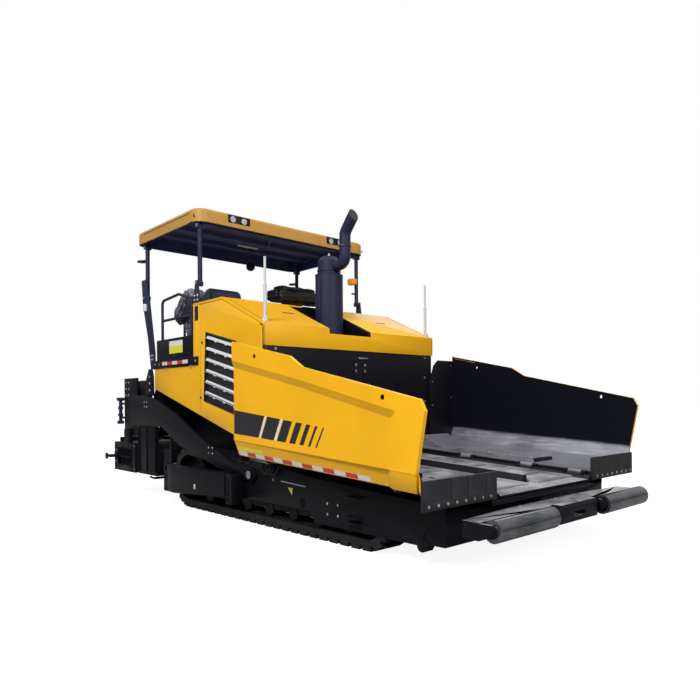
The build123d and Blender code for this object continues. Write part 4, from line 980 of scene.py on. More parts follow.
    def floor(self):
        """seams and bolts of the hopper's fixed floor"""
        seams = Mould(HOPPER)
        for s in (1, -1):
            for u in (1.05, 1.65, 2.25, 2.80):
                seams.box((u, s * 0.116, -0.0448), (u + 0.004, s * 0.618, -0.0442))
        seams.done("floor_seams", "sticker", "chassis")
        places = (0.80, 1.20, 1.50, 1.80, 2.10, 2.40, 2.70, 2.95)
        heads = [h for s in (1, -1) for h in floor_heads(s, places, (0.16, 0.37, 0.58), -0.0450)]
        bolts("floor_bolts", heads, "chassis", self.bolt * 0.5)


class PAVER_OT_hood(bpy.types.Operator):
    """Louvres, seams, locks and grips of the hood, doors and bulkhead"""
    bl_idname = "paver.hood"
    bl_label = "Hood and doors"

    def execute(self, context):
        sizes = context.scene.paver_sizes
        for side, s, key in SIDES:
            self.door(side, s, "door_" + key, sizes)
        self.top()
        self.bulkhead(sizes)
        return {"FINISHED"}

    def door(self, side, s, door, sizes):
        """louvres, locks and bolts of a side door"""
        surround = Mould()
        middle = Vector((-0.32, 1.58))
        inner = [tuple(Vector(p) + (middle - Vector(p)).normalized() * 0.026) for p in OPENING]
        for i in range(4):
            j = (i + 1) % 4
            surround.prism([OPENING[i], OPENING[j], inner[j], inner[i]], "y", s * 1.2215, s * 1.2492)
        surround.done("louvre_frame_" + side, "sticker", door)
        back = Mould().prism(OPENING, "y", s * 1.2205, s * 1.2220)
        back.done("louvre_mesh_" + side, "mesh", door)

        def line(x):
            return 1.985 - 0.2293 * (x + 0.63)

        def section(x):
            z = line(x)
            return [(x, s * 1.2480, z), (x, s * 1.2480, z + 0.004), (x, s * 1.2300, z + 0.032),
                    (x, s * 1.2285, z + 0.030)]

        blade = Mould().loft(section(-0.640), section(0.050))
        for x in (-0.43, -0.21, 0.01):
            z = line(x)
            outline = [(x, z - 0.012), (x + 0.035, z - 0.020), (x + 0.045, z - 0.006), (x, z + 0.004)]
            blade.prism(outline, "y", s * 1.2455, s * 1.2485)
        repeated(blade, "louvre_slats_" + side, "slat_steel", door, sizes.slats, (-0.0087, 0.0, -0.125))
        locks = Mould()
        barrel = ((0, 0.017), (0.004, 0.017), (0.006, 0.014), (0.003, 0.010))
        for x, z in ((-0.715, 1.94), (-0.755, 1.31)):
            locks.lathe(barrel, (x, s * 1.2495, z), (0, s, 0), 20)
        locks.done("door_locks_" + side, "sticker", door)
        heads = side_heads(s, 1.2505, [(0.515, z) for z in (0.86, 1.15, 1.45, 1.75)])
        bolts("door_bolts_" + side, heads, door, sizes.bolt * 0.6)

    def top(self):
        """seams and grips of the hood, the floor of its notch and the vents beside it"""
        def section(x, y):
            z = hood_at(x)
            return [(x, y - 0.0025, z + 0.0003), (x, y + 0.0025, z + 0.0003),
                    (x, y + 0.0025, z + 0.0010), (x, y - 0.0025, z + 0.0010)]
        seam = Mould()
        for s in (1, -1):
            for start, end in ((-0.925, -0.255), (-0.255, 0.566)):
                seam.loft(section(start, s * 1.205), section(end, s * 1.205))
            seam.box((0.5702, s * 1.2425, 1.832), (0.5709, s * 1.2385, 2.052))
        seam.done("hood_seams", "sticker", "chassis")
        grip = Mould()
        x, half, drop = 0.125, 0.012, -0.43 * 0.012
        z = hood_at(x)
        for middle in (0.755, -0.652):
            grip.loft(*(
                [(x - half, y, z - drop - 0.002), (x + half, y, z + drop - 0.002),
                 (x + half, y, z + drop + 0.0022), (x - half, y, z - drop + 0.0022)]
                for y in (middle - 0.075, middle + 0.075)
            ))
        grip.done("hood_grips", "sticker", "chassis")
        # black floor of the notch round the muffler
        pan = Mould().box((-0.19, -0.227, 1.988), (0.562, 0.227, 1.996))
        pan.box((-0.192, -0.227, 1.996), (-0.186, 0.227, 2.398))
        pan.done("notch_pan", "dark", "chassis")
        vent = Mould()
        for s in (1, -1):
            vent.box((-0.885, s * 1.2502, 2.205), (-0.805, s * 1.2525, 2.372))
        vent.done("vent_backs", "sticker", "chassis")
        slat = Mould()
        for s in (1, -1):
            outline = [(s * 1.2525, 2.214), (s * 1.2525, 2.222), (s * 1.2580, 2.214)]
            slat.prism(outline, "x", -0.882, -0.808)
        repeated(slat, "vent_slats", "dark", "chassis", 8, (0.0, 0.0, 0.0195))

    def bulkhead(self, sizes):
        """bolts, bar and rubber curtains of the bulkhead"""
        face = 0.5617
        heads = [((face, y, z), (1, 0, 0)) for y in (-0.034, 0.102) for z in (1.604, 1.672)]
        heads += [((face, s * 1.11, z), (1, 0, 0)) for s in (1, -1) for z in (0.95, 1.25, 1.55, 1.80)]
        heads += [((face, s * y, 1.075), (1, 0, 0)) for s in (1, -1) for y in (0.08, 0.22, 0.36, 0.50, 0.64)]
        bolts("bulkhead_bolts", heads, "chassis", sizes.bolt * 0.7)
        bar = Mould().box((face, 0.0, 1.738), (face + 0.012, 0.145, 1.756))
        bar.done("bulkhead_bar", "bright_steel", "chassis", 0.003)
        curtain = Mould()
        for s in (1, -1):
            for i in range(5):
                y = 0.055 + i * 0.124
                curtain.box((face + 0.001, s * y, 0.90), (face + 0.010, s * (y + 0.12), 1.10))
        curtain.done("tunnel_curtains", "rubber", "chassis", 0.002)


class PAVER_OT_exhaust(bpy.types.Operator):
    """Clamps and rims of the muffler and tail pipe, and the marker poles' collars"""
    bl_idname = "paver.exhaust"
    bl_label = "Exhaust and marker poles"

    def execute(self, context):
        bolt = context.scene.paver_sizes.bolt
        rings = Mould()
        for x, z, inner, outer, bevel, height, sides in (
            (0.04, 2.758, 0.1645, 0.1685, 0.001, 0.010, 40), (0.04, 2.735, 0.1632, 0.1672, 0.001, 0.010, 40),
            (0.04, 2.055, 0.1640, 0.1680, 0.001, 0.010, 40), (0.04, 2.80, 0.1365, 0.142, 0.004, 0.026, 36),
            (0.34, 3.05, 0.067, 0.072, 0.004, 0.030, 28),
        ):
            profile = ((0, inner), (bevel, outer), (height - bevel, outer), (height, inner))
            rings.lathe(profile, (x, 0, z), (0, 0, 1), sides)
        rings.box((-0.004, -0.172, 2.10), (0.084, -0.1635, 2.70))
        rings.done("exhaust_clamps", "slate", "chassis", 0.001)
        lug = Mould().rod((0.04, 0, 3.0), (0.04, 0, 3.022), 0.016, 12)
        lug.rod((0.04, 0, 3.022), (0.04, 0, 3.034), 0.010, 6)
        lug.rod((0.372, -0.075, 3.065), (0.372, 0.075, 3.065), 0.006, 8)
        lug.done("exhaust_bolts", "bolt_steel", "chassis")
        path = [(0.10, 0, 2.856), (0.34, 0, 2.872), (0.34, 0, 3.12), (0.34, 0, 3.22), (0.58, 0, 3.495)]
        pipe = Mould().pipe(path, 0.066, 32, 8).cut((0.510, 0, 3.355), (0.938, 0, 0.347))
        pipe.done("exhaust_pipe", "slate", "chassis", replaces=("tail_pipe",))
        soot = Mould().pipe([(0.42, 0, 3.3117), (0.58, 0, 3.495)], 0.0595, 32, 2)
        soot.cut((0.511, 0, 3.3555), (0.938, 0, 0.347))
        soot.done("exhaust_soot", "sticker", "chassis")
        z = hood_at(0.5) + 0.028
        heads = [((x, s * 1.19, z), (0, 0, 1)) for s in (1, -1) for x in (0.50 - 0.026, 0.50 + 0.026)]
        bolts("pole_bolts", heads, "chassis", bolt * 0.35)
        collars = Mould()
        for s in (1, -1):
            for z, profile in (
                (2.425, ((0, 0.018), (0.003, 0.0205), (0.020, 0.0205), (0.024, 0.0135))),
                (2.7215, ((0, 0.013), (0.002, 0.0145), (0.008, 0.0145), (0.010, 0.010))),
            ):
                collars.lathe(profile, (0.5, s * 1.19, z), (0, 0, 1), 20)
        collars.done("pole_collars", "pale", "chassis")
        return {"FINISHED"}


class PAVER_OT_roof(bpy.types.Operator):
    """Lamps, lining and fittings of the roof and its posts"""
    bl_idname = "paver.roof"
    bl_label = "Roof"

    def execute(self, context):
        bolt = context.scene.paver_sizes.bolt
        recess, bezels = Mould(), Mould()
        back, face = -0.7728, -0.7515
        bezel = ((0, 0.0385), (0, 0.046), (0.018, 0.046), (0.0205, 0.043), (0.0205, 0.0385), (0.012, 0.0382))
        for s in (1, -1):
            low, high = sorted((s * 0.5905, s * 0.8895))
            recess.box((-0.7738, low, 3.3975), (back, high, 3.4925))
            for y0, y1, z0, z1 in (
                (low, high, 3.3972, 3.3985), (low, high, 3.4915, 3.4928),
                (low, low + 0.0015, 3.3985, 3.4915), (high - 0.0015, high, 3.3985, 3.4915),
            ):
                recess.box((back, y0, z0), (face, y1, z1))
            for y in (0.67, 0.82):
                bezels.lathe(bezel, (-0.7725, s * y, 3.445), (1, 0, 0), 28)
        recess.done("roof_lamp_recess", "sticker", "roof")
        bezels.done("roof_lamp_bezels", "hose", "roof")
        marks = Mould()
        for s in (1, -1):
            marks.rod((-0.822, s * 1.2888, 3.412), (-0.822, s * 1.2905, 3.412), 0.015, 16)
        marks.done("roof_plugs", "sticker", "roof")
        # lining: a conduit with a strip lamp, and the hem of the skin
        bends = ((-0.98, -1.18), (-0.98, -0.2), (-1.5, 0.2), (-2.3, 0.3))
        conduits = Mould().pipe([(x, y, 3.44) for x, y in bends], 0.008, 8, 4)
        for s in (1, -1):
            route = [(-0.85, s * 1.13, 3.36), (-0.95, s * 1.12, 3.44), (-2.2, s * 1.12, 3.44)]
            conduits.pipe(route, 0.010, 8, 4)
        conduits.done("roof_conduits", "hose", "roof")
        strip = Mould().box((-1.02, -0.98, 3.425), (-0.98, -0.66, 3.445))
        strip.box((-1.80, -0.16, 3.425), (-1.76, 0.16, 3.445))
        strip.done("roof_strip_lamps", "plate_white", "roof", 0.004)
        heads = [
            ((x, s * y, 3.32), (0, s * out, 0))
            for s in (1, -1) for x in (-0.85, -2.30) for y, out in ((1.2405, 1), (1.1595, -1))
        ]
        bolts("roof_pin_heads", heads, "roof", bolt * 0.9)
        heads = []
        for s in (1, -1):
            heads += side_heads(s, 1.2540, [(-0.85, 2.64), (-2.30, 2.64)])
            heads += four(-0.85, 2.47, 0.07, 0.05, 1.2540, s)
            heads += four(-2.06, 1.84, 0.05, 0.05, 1.2540, s)
        bolts("post_foot_bolts", heads, "chassis", bolt * 0.8)
        # rear view mirror under the roof, and a beacon box on the front left post
        mirror = Mould().pipe([(-1.95, 0.15, 3.465), (-1.95, 0.15, 3.30), (-1.99, 0.17, 3.24)], 0.008, 8, 4)
        profile = ((0, 0.05), (0.006, 0.062), (0.020, 0.062), (0.030, 0.040))
        mirror.lathe(profile, (-2.0, 0.175, 3.21), (0.8, -0.5, 0.1), 20)
        mirror.done("roof_mirror", "hose", "roof")
        beacon = Mould().box((-0.90, 1.075, 2.915), (-0.79, 1.165, 3.0))
        beacon.done("post_beacon", "amber", "post_front", 0.008)
        clip = Mould().box((-0.88, 1.160, 2.93), (-0.82, 1.180, 2.985))
        clip.rod((-0.85, 1.17, 2.79), (-0.85, 1.115, 2.79), 0.012, 10)
        clip.done("post_beacon_clip", "hose", "post_front", 0.002)
        # work lamps on short arms at the rear posts
        profile = ((0, 0.03), (0.006, 0.055), (0.022, 0.055), (0.028, 0.048))
        for side, s, _ in SIDES:
            route = [(-2.32, s * 1.2, 3.15), (-2.40, s * 1.22, 3.16), (-2.45, s * 1.22, 3.15)]
            arm = Mould().pipe(route, 0.009, 8, 4)
            arm.lathe(profile, (-2.45, s * 1.22, 3.135), (0, 0, 1), 20)
            arm.done("post_lamp_arm_" + side, "hose", "post_rear")
        pale = Mould().rod((-2.24, -1.262, 2.46), (-2.24, -1.262, 2.55), 0.028, 16)
        pale.rod((-2.24, -1.262, 2.455), (-2.24, -1.262, 2.46), 0.018, 12)
        pale.done("bracket_lamp", "plate_white", "chassis", 0.003)
        return {"FINISHED"}


class PAVER_OT_deck(bpy.types.Operator):
    """Tape, seats, console covers and fittings of the operator's platform"""
    bl_idname = "paver.deck"
    bl_label = "Platform"

    def execute(self, context):
        bolt = context.scene.paver_sizes.bolt
        for finish, first in (("tape_white", 0), ("tape_red", 1)):
            strips = Mould()
            for s in (1, -1):
                for i in range(first, 5, 2):
                    x = -1.735 + i * 0.138
                    strips.box((x, s * 1.2622, 1.722), (x + 0.138, s * 1.2632, 1.764))
            strips.done("deck_" + finish, finish, "chassis")
        hooks = Mould()
        for s in (1, -1):
            for x in (-1.642, -0.977):
                a, b = x - 0.02, x + 0.02
                bends = ((a, 1.254, 1.70), (a, 1.268, 1.672), (b, 1.268, 1.672), (b, 1.254, 1.70))
                hooks.pipe([(x, s * y, z) for x, y, z in bends], 0.005, 8, 3)
        hooks.done("deck_hooks", "bright_steel", "chassis")
        for finish, low, high in (("plate_white", 1.950, 2.012), ("plate_yellow", 1.860, 1.950)):
            sign = Mould()
            for s in (1, -1):
                sign.box((-1.56, s * 1.2503, low), (-1.20, s * 1.2513, high))
            sign.done("box_" + finish, finish, "chassis")
        places = [(x, 1.74) for x in (-1.95, -1.83, -0.86)]
        heads = [h for s in (1, -1) for h in side_heads(s, 1.2622, places)]
        bolts("deck_bolts", heads, "chassis", bolt * 0.7)
        self.seats()
        self.consoles()
        self.rear()
        return {"FINISHED"}

    def seats(self):
        """two seats on bellows, the right one with a film thrown over it"""
        for side, s, _ in SIDES:
            y = s * 0.78
            legs = Mould().box((-1.64, y - 0.17, 1.7905), (-1.26, y + 0.17, 1.84))
            for i in range(6):
                z = 1.845 + i * 0.035
                grow = 0.012 * (i % 2)
                legs.box((-1.61 - grow, y - 0.15 - grow, z), (-1.29 + grow, y + 0.15 + grow, z + 0.033))
            legs.box((-1.67, y - 0.21, 2.055), (-1.22, y + 0.21, 2.085))
            legs.done("seat_base_" + side, "hose", "chassis", 0.004, replaces=("seats",) if s > 0 else ())
            squab = crowned((-1.68, y - 0.225, 2.085), (-1.195, y + 0.225, 2.195), 0.035)
            soft_piece(squab, "seat_squab_" + side, "seat")
            back = crowned((-0.05, -0.215, 0.0), (0.06, 0.215, 0.47), 0.03)
            back.transform(Matrix.Translation((-1.655, y, 2.17)) @ Matrix.Rotation(-0.21, 4, "Y"))
            soft_piece(back, "seat_back_" + side, "seat")
            if s < 0:
                film = crowned((-0.09, -0.345, -0.06), (0.11, 0.225, 0.50), 0.06, 0.05)
                film.transform(Matrix.Translation((-1.76, y, 2.33)) @ Matrix.Rotation(0.85, 4, "Y"))
                soft_piece(film, "seat_film", "film")
            rests = Mould()
            for k in (1, -1):
                inner, outer = y + k * 0.235, y + k * 0.25
                rests.pipe([(-1.66, inner, 2.30), (-1.55, outer, 2.36), (-1.33, outer, 2.36)], 0.022, 10, 4)
            rests.done("seat_arms_" + side, "hose", "chassis")

    def consoles(self):
        """the far console under its cover, the near one bare"""
        far = Mould()
        far.loft(
            [(-1.19, 0.21, 1.791), (-1.06, 0.21, 1.791), (-1.06, 0.33, 1.791), (-1.19, 0.33, 1.791)],
            [(-1.18, 0.22, 2.55), (-1.07, 0.22, 2.55), (-1.07, 0.32, 2.55), (-1.18, 0.32, 2.55)],
            [(-1.22, 0.10, 2.62), (-1.03, 0.10, 2.62), (-1.03, 0.46, 2.62), (-1.22, 0.46, 2.62)],
        )
        far.done("console_column", "cover", "chassis", 0.006, replaces=("consoles",))
        wrap = crowned((-1.30, -0.06, 2.585), (-0.96, 0.76, 2.765), 0.05, 0.022)
        soft_piece(wrap, "console_wrap", "cover")
        fold = crowned((-1.27, 0.04, 2.725), (-1.02, 0.64, 2.820), 0.04, 0.02)
        soft_piece(fold, "console_wrap_top", "cover")
        near = Mould()
        near.prism(
            [(-1.17, 1.791), (-0.945, 1.791), (-0.945, 2.46), (-0.98, 2.60), (-1.04, 2.646), (-1.12, 2.63),
             (-1.17, 2.56)],
            "y", -1.0, -0.58,
        )
        near.done("console_near", "slate", "chassis", 0.03)
        for y, name in ((0.28, "far"), (-0.79, "near")):
            knobs = Mould()
            for k in range(4):
                x, across = -1.16 + 0.02 * k, y - 0.12 + 0.08 * k
                knobs.rod((x, across, 2.56), (x, across, 2.60), 0.012, 10)
            knobs.done("console_knobs_" + name, "sticker", "chassis")

    def rear(self):
        """steps, valves, hoses and rails behind the platform"""
        ladder = Mould()
        for y in (-0.22, 0.22):
            ladder.box((-2.02, y - 0.006, 0.98), (-1.99, y + 0.006, 1.78))
        for i in range(3):
            z = 1.08 + i * 0.24
            ladder.box((-2.10, -0.214, z), (-1.995, 0.214, z + 0.022))
        ladder.done("rear_steps", "dark", "chassis", 0.003)
        for side, s, _ in SIDES:
            skirt = Mould().prism(
                [(-1.88, 0.72), (-1.48, 0.72), (-1.48, 0.60), (-0.62, 0.60), (-0.62, 1.30), (-1.88, 1.30)],
                "y", s * 0.8325 - 0.006, s * 0.8325 + 0.006,
            )
            skirt.box((-1.975, s * 0.560, 0.90), (-1.965, s * 1.205, 1.64))
            skirt.box((-2.16, s * 0.56, 1.36), (-1.975, s * 0.99, 1.66))
            hoses = Mould()
            for k in range(4):
                y = s * (0.63 + 0.09 * k)
                skirt.rod((-2.08, y, 1.66), (-2.08, y, 1.70), 0.022, 8)
                route = ((-2.08, 0, 1.70), (-2.08, 0, 1.75), (-2.20, 0.02, 1.74), (-2.24, 0.03, 1.50),
                         (-2.10, 0.02, 1.28), (-1.90, 0, 1.22))
                hoses.pipe([(x, y + s * out, z) for x, out, z in route], 0.013, 10, 5)
            skirt.done("rear_valves_" + side, "dark", "chassis", 0.003)
            hoses.done("rear_hoses_" + side, "hose", "chassis")
        rail = Mould()
        for s in (1, -1):
            corners = [(-1.97, s * y, z) for y, z in ((0.45, 1.80), (0.45, 2.60), (0.85, 2.60), (0.85, 1.80))]
            rail.pipe(corners, 0.016, 12, 5)
            rail.rod((-1.97, s * 0.45, 2.2), (-1.97, s * 0.85, 2.2), 0.012, 10)
        rail.done("rear_rails", "slate", "chassis")


def crowned(low, high, crown, ripple=0.0):
    """a soft closed block whose faces bulge and whose edges are round"""
    towards_ball, ball_size, deepest = 0.28, 1.25, 0.9
    work = bmesh.new()
    bmesh.ops.create_cube(work, size=2.0)
    bmesh.ops.subdivide_edges(work, edges=work.edges, cuts=11, use_grid_fill=True)
    low, high = Vector(low), Vector(high)
    middle, half = (low + high) / 2, (high - low) / 2
    for vert in work.verts:
        p = vert.co.copy()
        length = max(abs(c) for c in p)
        ball = p.normalized() * length * ball_size if p.length else p
        q = p.lerp(ball, towards_ball)
        for i in range(3):
            q[i] = max(-1.0, min(1.0, q[i]))
            if abs(p[i]) > 0.999:
                inset = crown / half[i] * max(abs(p[j]) for j in range(3) if j != i) ** 3
                q[i] = math.copysign(1 - min(inset, deepest), p[i])
        wave = ripple * math.sin(p.y * 17 + p.z * 5) * math.cos(p.x * 11 + p.y * 4)
        vert.co = middle + Vector([q[i] * (half[i] - abs(wave)) for i in range(3)])
    return work


def soft_piece(work, name, finish):
    """a padded piece of the platform from a soft mesh"""
    piece = Mould(mesh=work).done(name, finish, "chassis", smooth=80.0)


class PAVER_OT_under(bpy.types.Operator):
    """Tracks, side frames, guards, hoses and the push beam's trim"""
    bl_idname = "paver.under"
    bl_label = "Undercarriage and push beam"

    def execute(self, context):
        self.bolt = context.scene.paver_sizes.bolt
        for side, s, key in SIDES:
            self.frame_side(side, s, key)
            self.tow(side, s)
            self.shoes(side, s)
        self.push()
        return {"FINISHED"}

    def frame_side(self, side, s, key):
        """bolts, pin cap and small marks of a side frame, its tow arm and its guard"""
        heads = four(1.590, 0.300, 0.147, 0.096, 1.2100, s)
        heads += side_heads(s, 1.21, [(2.775, 0.452), (0.656, 0.486)])
        bolts("side_frame_bolts_" + side, heads, "chassis", self.bolt * 0.55)
        heads = four(-2.275, 1.233, 0.075, 0.060, 1.2525, s)
        heads += four(-0.531, 0.715, 0.085, 0.060, 1.2525, s)
        bolts("arm_bolts_" + side, heads, "screed_unit", self.bolt * 0.55)
        profile = ((0, 0.042), (0.012, 0.042), (0.016, 0.036), (0.016, 0.016), (0.012, 0.014))
        cap = Mould().lathe(profile, (0.31, s * 1.2742, 0.51), (0, s, 0), 28)
        cap.done("tow_pin_cap_" + side, "bolt_steel", "chassis")
        # painted highlight: a thin bright steel ledge standing for the highlight along the side frame's edge
        ledge = Mould().rod((0.80, s * 1.2125, 0.486), (1.20, s * 1.2125, 0.468), 0.007, 8)
        ledge.done("side_ledge_" + side, "bright_steel", "chassis")
        outline = ((1.12, 0.27), (1.12, 0.355), (1.16, 0.355), (1.16, 0.27), (1.121, 0.27))
        slot = Mould().pipe([(x, s * 1.2120, z) for x, z in outline], 0.005, 8, 3)
        slot.done("side_slot_" + side, "dark", "chassis")
        outline = [(0.905, 0.435), (0.985, 0.435), (0.975, 0.365)]
        mark = Mould().prism(outline, "y", s * 1.2098, s * 1.2106)
        mark.done("side_mark_" + side, "plate_yellow", "chassis")
        dot = Mould().box((-0.68, s * 1.3802, 0.285), (-0.645, s * 1.3812, 0.340))
        dot.done("guard_mark_" + side, "plate_white", "guard_" + key)

    def tow(self, side, s):
        """hoses and valve at a tow point, and the guard's clamps"""
        hoses = Mould()
        for k in range(3):
            x = 0.48 + 0.07 * k
            route = ((0, 1.195, 0.69), (0, 1.226, 0.66 + 0.01 * k), (0.03, 1.232, 0.56),
                     (0.09, 1.232, 0.53), (0.15, 1.228, 0.60), (0.16, 1.195, 0.68))
            hoses.pipe([(x + dx, s * y, z) for dx, y, z in route], 0.011, 10, 5)
        hoses.done("tow_hoses_" + side, "hose", "chassis")
        block = Mould().box((0.60, s * 1.21, 0.585), (0.74, s * 1.262, 0.635))
        for x in (0.63, 0.70):
            block.rod((x, s * 1.262, 0.61), (x, s * 1.272, 0.61), 0.014, 10)
        block.done("tow_valve_" + side, "dark", "chassis", 0.004)
        clamps = Mould()
        for z in (0.285, 0.493):
            for off in (-0.010, 0.010):
                clamps.box((0.005, s * 1.345, z + off - 0.002), (0.125, s * 1.372, z + off + 0.002))
        clamps.done("guard_clamps_" + side, "slate", "chassis", 0.001)

    def shoes(self, side, s):
        """two bolts on each shoe of the loop's turns and upper run"""
        (front_x, front_r), (rear_x, rear_r), run, shoes = (2.03, 0.25), (-1.2, 0.36), 3.23, 56
        tilt = 2 * math.atan2(front_r - rear_r, run)
        turn_from = math.pi / 2 + tilt
        front = front_r * (turn_from + math.pi / 2)
        pitch = (2 * run + front + rear_r * (1.5 * math.pi - turn_from)) / shoes
        mesh = Mould()
        for i in range(shoes):
            way = (i + 0.5) * pitch - run
            if way < 0:
                continue
            x, z, r, angle = front_x, front_r, front_r, turn_from
            if way < front:
                angle = way / front_r - math.pi / 2
            elif way < run + front:
                x -= (way - front) * math.cos(tilt)
                z -= (way - front) * math.sin(tilt)
            else:
                x, z, r = rear_x, rear_r, rear_r
                angle += (way - run - front) / rear_r
            out = Vector((math.cos(angle), 0, math.sin(angle)))
            for y in (0.97, 1.11):
                p = Vector((x, s * y, z)) + out * (r - 0.004)
                if 0.02 < p.z < 0.77:
                    mesh.rod(p - out * 0.01, p + out * 0.003, 0.011, 6)
        mesh.done("shoe_bolts_" + side, "bolt_steel", "chassis")

    def push(self):
        """the push beam's bolts and pocket rim, and the rollers' faces and pin caps"""
        heads = [((3.17, s * 1.16, 0.400), (0, 0, 1)) for s in (1, -1)]
        heads += [((3.02, s * y, 0.400), (0, 0, 1)) for s in (1, -1) for y in (0.12, 0.42)]
        bolts("push_beam_bolts", heads, "push_bar", self.bolt * 0.6)
        rims = Mould()
        for low, high in (((-0.093, 0.352), (0.093, 0.358)), ((-0.093, 0.302), (0.093, 0.308))):
            rims.box((3.322, low[0], low[1]), (3.3275, high[0], high[1]))
        for y in (-0.093, 0.087):
            rims.box((3.322, y, 0.302), (3.3275, y + 0.006, 0.358))
        rims.done("pocket_rim", "slate", "push_bar")
        x, z = 3.31, 0.345
        cap = ((0, 0.028), (0.010, 0.028), (0.012, 0.022), (0.012, 0.008))
        rim = ((0, 0.060), (0.003, 0.060), (0.003, 0.050), (0.001, 0.048))
        for side, s, key in SIDES:
            caps, face = Mould(), Mould()
            for y, out in ((0.385, -s), (1.185, s)):
                caps.lathe(cap, (x, s * y + out * 0.0142, z), (0, out, 0), 20)
            caps.done("push_pin_caps_" + side, "dark", "push_bar")
            for y, out in ((1.151, s), (0.419, -s)):
                face.lathe(rim, (x, s * y, z), (0, out, 0), 28)
            face.done("push_roller_faces_" + side, "dark", "push_roll_" + key)


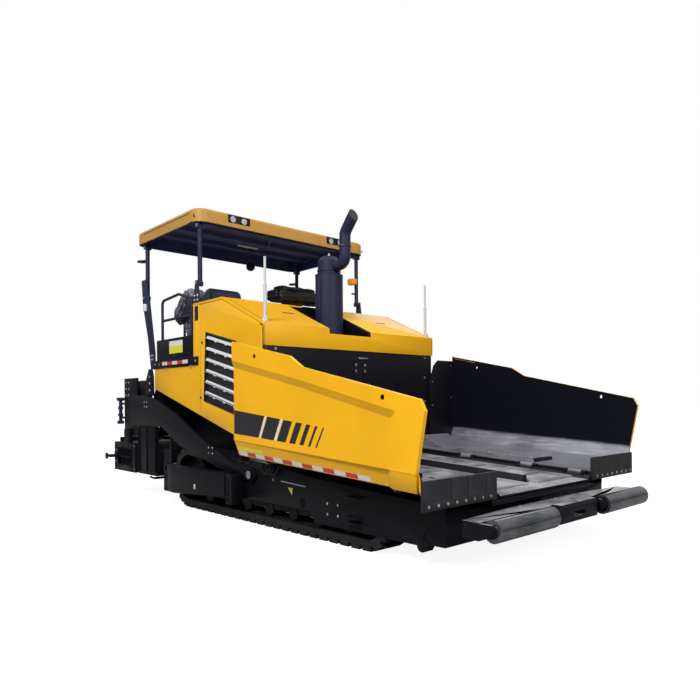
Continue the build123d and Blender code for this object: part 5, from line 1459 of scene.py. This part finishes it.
class PAVER_OT_screed(bpy.types.Operator):
    """Cranks, bolts, hoses and steps of the screed"""
    bl_idname = "paver.screed"
    bl_label = "Screed"

    def execute(self, context):
        self.bolt = context.scene.paver_sizes.bolt
        for side, s, key in SIDES:
            self.crank(side, s)
            self.end_plate(side, s, key)
            self.tower(side, s)
            self.fittings(side, s, key)
        slabs = Mould()
        for i in range(6):
            y = -0.86 + i * 0.29
            slabs.box((-2.57, y, 0.7905), (-2.14, y + 0.27, 0.797))
        slabs.done("walkway_plates", "tread", "screed_unit", 0.001)
        return {"FINISHED"}

    def crank(self, side, s):
        """the height crank with its thread, and the bolts of the screed's end"""
        crank = Mould()
        crank.rod((-3.06, s * 1.05, 1.350), (-3.06, s * 1.05, 1.42), 0.018, 12)
        bends = ((-3.06, 1.41), (-3.06, 1.44), (-3.20, 1.44), (-3.20, 1.52))
        crank.pipe([(x, s * 1.05, z) for x, z in bends], 0.010, 10, 4)
        collar = ((0, 0.024), (0.02, 0.024), (0.024, 0.03), (0.05, 0.03), (0.06, 0.02))
        crank.lathe(collar, (-3.06, s * 1.05, 1.06), (0, 0, 1), 20)
        thread = ((0, 0.0245), (0.004, 0.028), (0.008, 0.0245))
        for i in range(9):
            crank.lathe(thread, (-3.06, s * 1.05, 1.13 + i * 0.018), (0, 0, 1), 16)
        crank.done("height_crank_" + side, "slate", "screed_unit")
        heads = side_heads(s, 1.0205, [(x, z) for x in (-3.09, -2.98, -2.86) for z in (1.00, 1.10, 1.22)])
        bolts("screed_bolts_" + side, heads, "screed_unit", self.bolt * 0.7)

    def end_plate(self, side, s, key):
        """bolts and ribs of an extension, and the plate behind its gate"""
        # the outer rows of the end plate, without the places of the bolt pattern
        places = [(x, z) for x in (-3.37, -3.307) for z in (0.34, 0.42, 0.58, 0.66)]
        places += [(x, z) for x in (-2.74, -2.68) for z in (0.34, 0.66)]
        places = [
            (x, z) for x, z in places
            if abs(abs(x + 3.027) - 0.28) > 0.035 or abs(abs(z - 0.5) - 0.14) > 0.035
        ]
        heads = side_heads(s, 1.2402, places)
        bolts("extension_heads_" + side, heads, "extension_" + key, self.bolt * 0.55)
        ribs = Mould()
        for x in (-3.249, -3.101, -2.953, -2.805):
            ribs.box((x - 0.006, s * 1.2398, 0.375), (x + 0.006, s * 1.252, 0.630))
        ribs.box((-3.249, s * 1.2398, 0.497), (-2.805, s * 1.252, 0.508))
        ribs.done("extension_ribs_" + side, "dark", "extension_" + key, 0.003)
        gate = Mould().box((-2.60, s * 1.2178, 0.355), (-2.02, s * 1.2258, 0.935))
        for x, z in ((-2.16, 0.42), (-2.13, 0.80), (-2.16, 0.86)):
            gate.rod((x, s * 1.2250, z), (x, s * 1.2290, z), 0.013, 10)
        gate.done("gate_plate_" + side, "dark", "screed_unit", 0.003)

    def tower(self, side, s):
        """the tower's plate and bolts, and the screw that sets the crown"""
        tower = Mould().prism(
            [(-3.14, 0.81), (-3.14, 1.60), (-2.70, 1.60), (-2.70, 1.33), (-2.60, 1.27), (-2.60, 0.81)],
            "y", s * 1.168, s * 1.192,
        )
        for x in (-3.09, -2.76):
            tower.box((x - 0.03, s * 1.015, 1.12), (x + 0.03, s * 1.170, 1.18))
        tower.done("tower_plates_" + side, "dark", "screed_unit", 0.003)
        places = [(x, z) for x in (-3.08, -2.98) for z in (1.36, 1.45, 1.54)]
        places += [(-2.66, 0.93), (-2.66, 1.10), (-2.66, 1.23), (-2.76, 1.08)]
        heads = side_heads(s, 1.192, places)
        bolts("tower_bolts_" + side, heads, "screed_unit", self.bolt * 0.8)
        screw = Mould()
        screw.rod((-3.26, s * 1.20, 0.955), (-3.26, s * 1.20, 1.33), 0.024, 12)
        for z, r in ((0.955, 0.046), (1.06, 0.034), (1.16, 0.034), (1.285, 0.052)):
            ring = ((0, r - 0.008), (0.008, r), (0.040, r), (0.048, r - 0.008))
            screw.lathe(ring, (-3.26, s * 1.20, z), (0, 0, 1), 16)
        for z in (1.03, 1.23):
            screw.box((-3.27, s * 1.17, z), (-3.10, s * 1.19, z + 0.030))
        screw.done("crown_screw_" + side, "slate", "screed_unit", 0.001)

    def fittings(self, side, s, key):
        """stub, hoses, latch and lift guide"""
        stub = Mould().rod((-3.33, s * 1.2402, 0.505), (-3.33, s * 1.365, 0.505), 0.020, 16)
        stub.rod((-3.33, s * 1.365, 0.505), (-3.33, s * 1.377, 0.505), 0.046, 20)
        stub.rod((-3.33, s * 1.2402, 0.505), (-3.33, s * 1.252, 0.505), 0.046, 20)
        stub.done("extension_stub_" + side, "dark", "extension_" + key)
        hoses = Mould()
        route = ((-2.10, 0.55, 1.20), (-2.22, 0.55, 1.0), (-2.42, 0.57, 0.86), (-2.62, 0.60, 0.80),
                 (-2.70, 0.66, 0.74))
        for k in range(3):
            hoses.pipe([(x, s * (y + 0.05 * k), z) for x, y, z in route], 0.011, 10, 5)
        hoses.done("screed_hoses_" + side, "hose", "screed_unit")
        route = [(-1.88, s * 1.306, 0.30), (-1.93, s * 1.312, 0.30), (-1.99, s * 1.312, 0.31)]
        lever = Mould().pipe(route, 0.013, 10, 4)
        lever.done("auger_latch_" + side, "dark", "chassis")
        plate = Mould().prism(
            [(-2.40, 1.36), (-2.12, 1.345), (-2.13, 1.60), (-2.17, 1.70), (-2.27, 1.70), (-2.36, 1.55)],
            "y", s * 1.196, s * 1.212,
        )
        plate.done("lift_guide_" + side, "dark", "screed_unit", 0.003)
        heads = side_heads(s, 1.2125, [(-2.235, 1.42 + 0.09 * i) for i in range(3)])
        bolts("lift_guide_bolts_" + side, heads, "screed_unit", self.bolt * 0.8)


PIECES = ("plates", "stage", "hopper", "hood", "exhaust", "roof", "deck", "under", "screed")


class PAVER_PT_panel(bpy.types.Panel):
    """Lists the paver's pieces and settings"""
    bl_label = "Paver"
    bl_idname = "PAVER_PT_panel"
    bl_space_type = "VIEW_3D"
    bl_region_type = "UI"
    bl_category = "Paver"

    def draw(self, context):
        for group in (context.scene.paver_sizes, context.scene.paver_colours):
            for key in group.__annotations__:
                self.layout.prop(group, key)
        for piece in PIECES:
            self.layout.operator("paver." + piece)


CLASSES = (
    PaverSizes, PaverColours, PAVER_OT_stage, PAVER_OT_plates, PAVER_OT_hopper, PAVER_OT_hood,
    PAVER_OT_exhaust, PAVER_OT_roof, PAVER_OT_deck, PAVER_OT_under, PAVER_OT_screed, PAVER_PT_panel,
)


def register():
    """make the classes and the settings known to Blender"""
    for item in CLASSES:
        bpy.utils.register_class(item)
    bpy.types.Scene.paver_sizes = PointerProperty(type=PaverSizes)
    bpy.types.Scene.paver_colours = PointerProperty(type=PaverColours)


def unregister():
    """take them back"""
    del bpy.types.Scene.paver_colours
    del bpy.types.Scene.paver_sizes
    for item in reversed(CLASSES):
        bpy.utils.unregister_class(item)


def main():
    """build every piece"""
    register()
    for piece in PIECES:
        getattr(bpy.ops.paver, piece)()


if __name__ == "__main__":
    main()
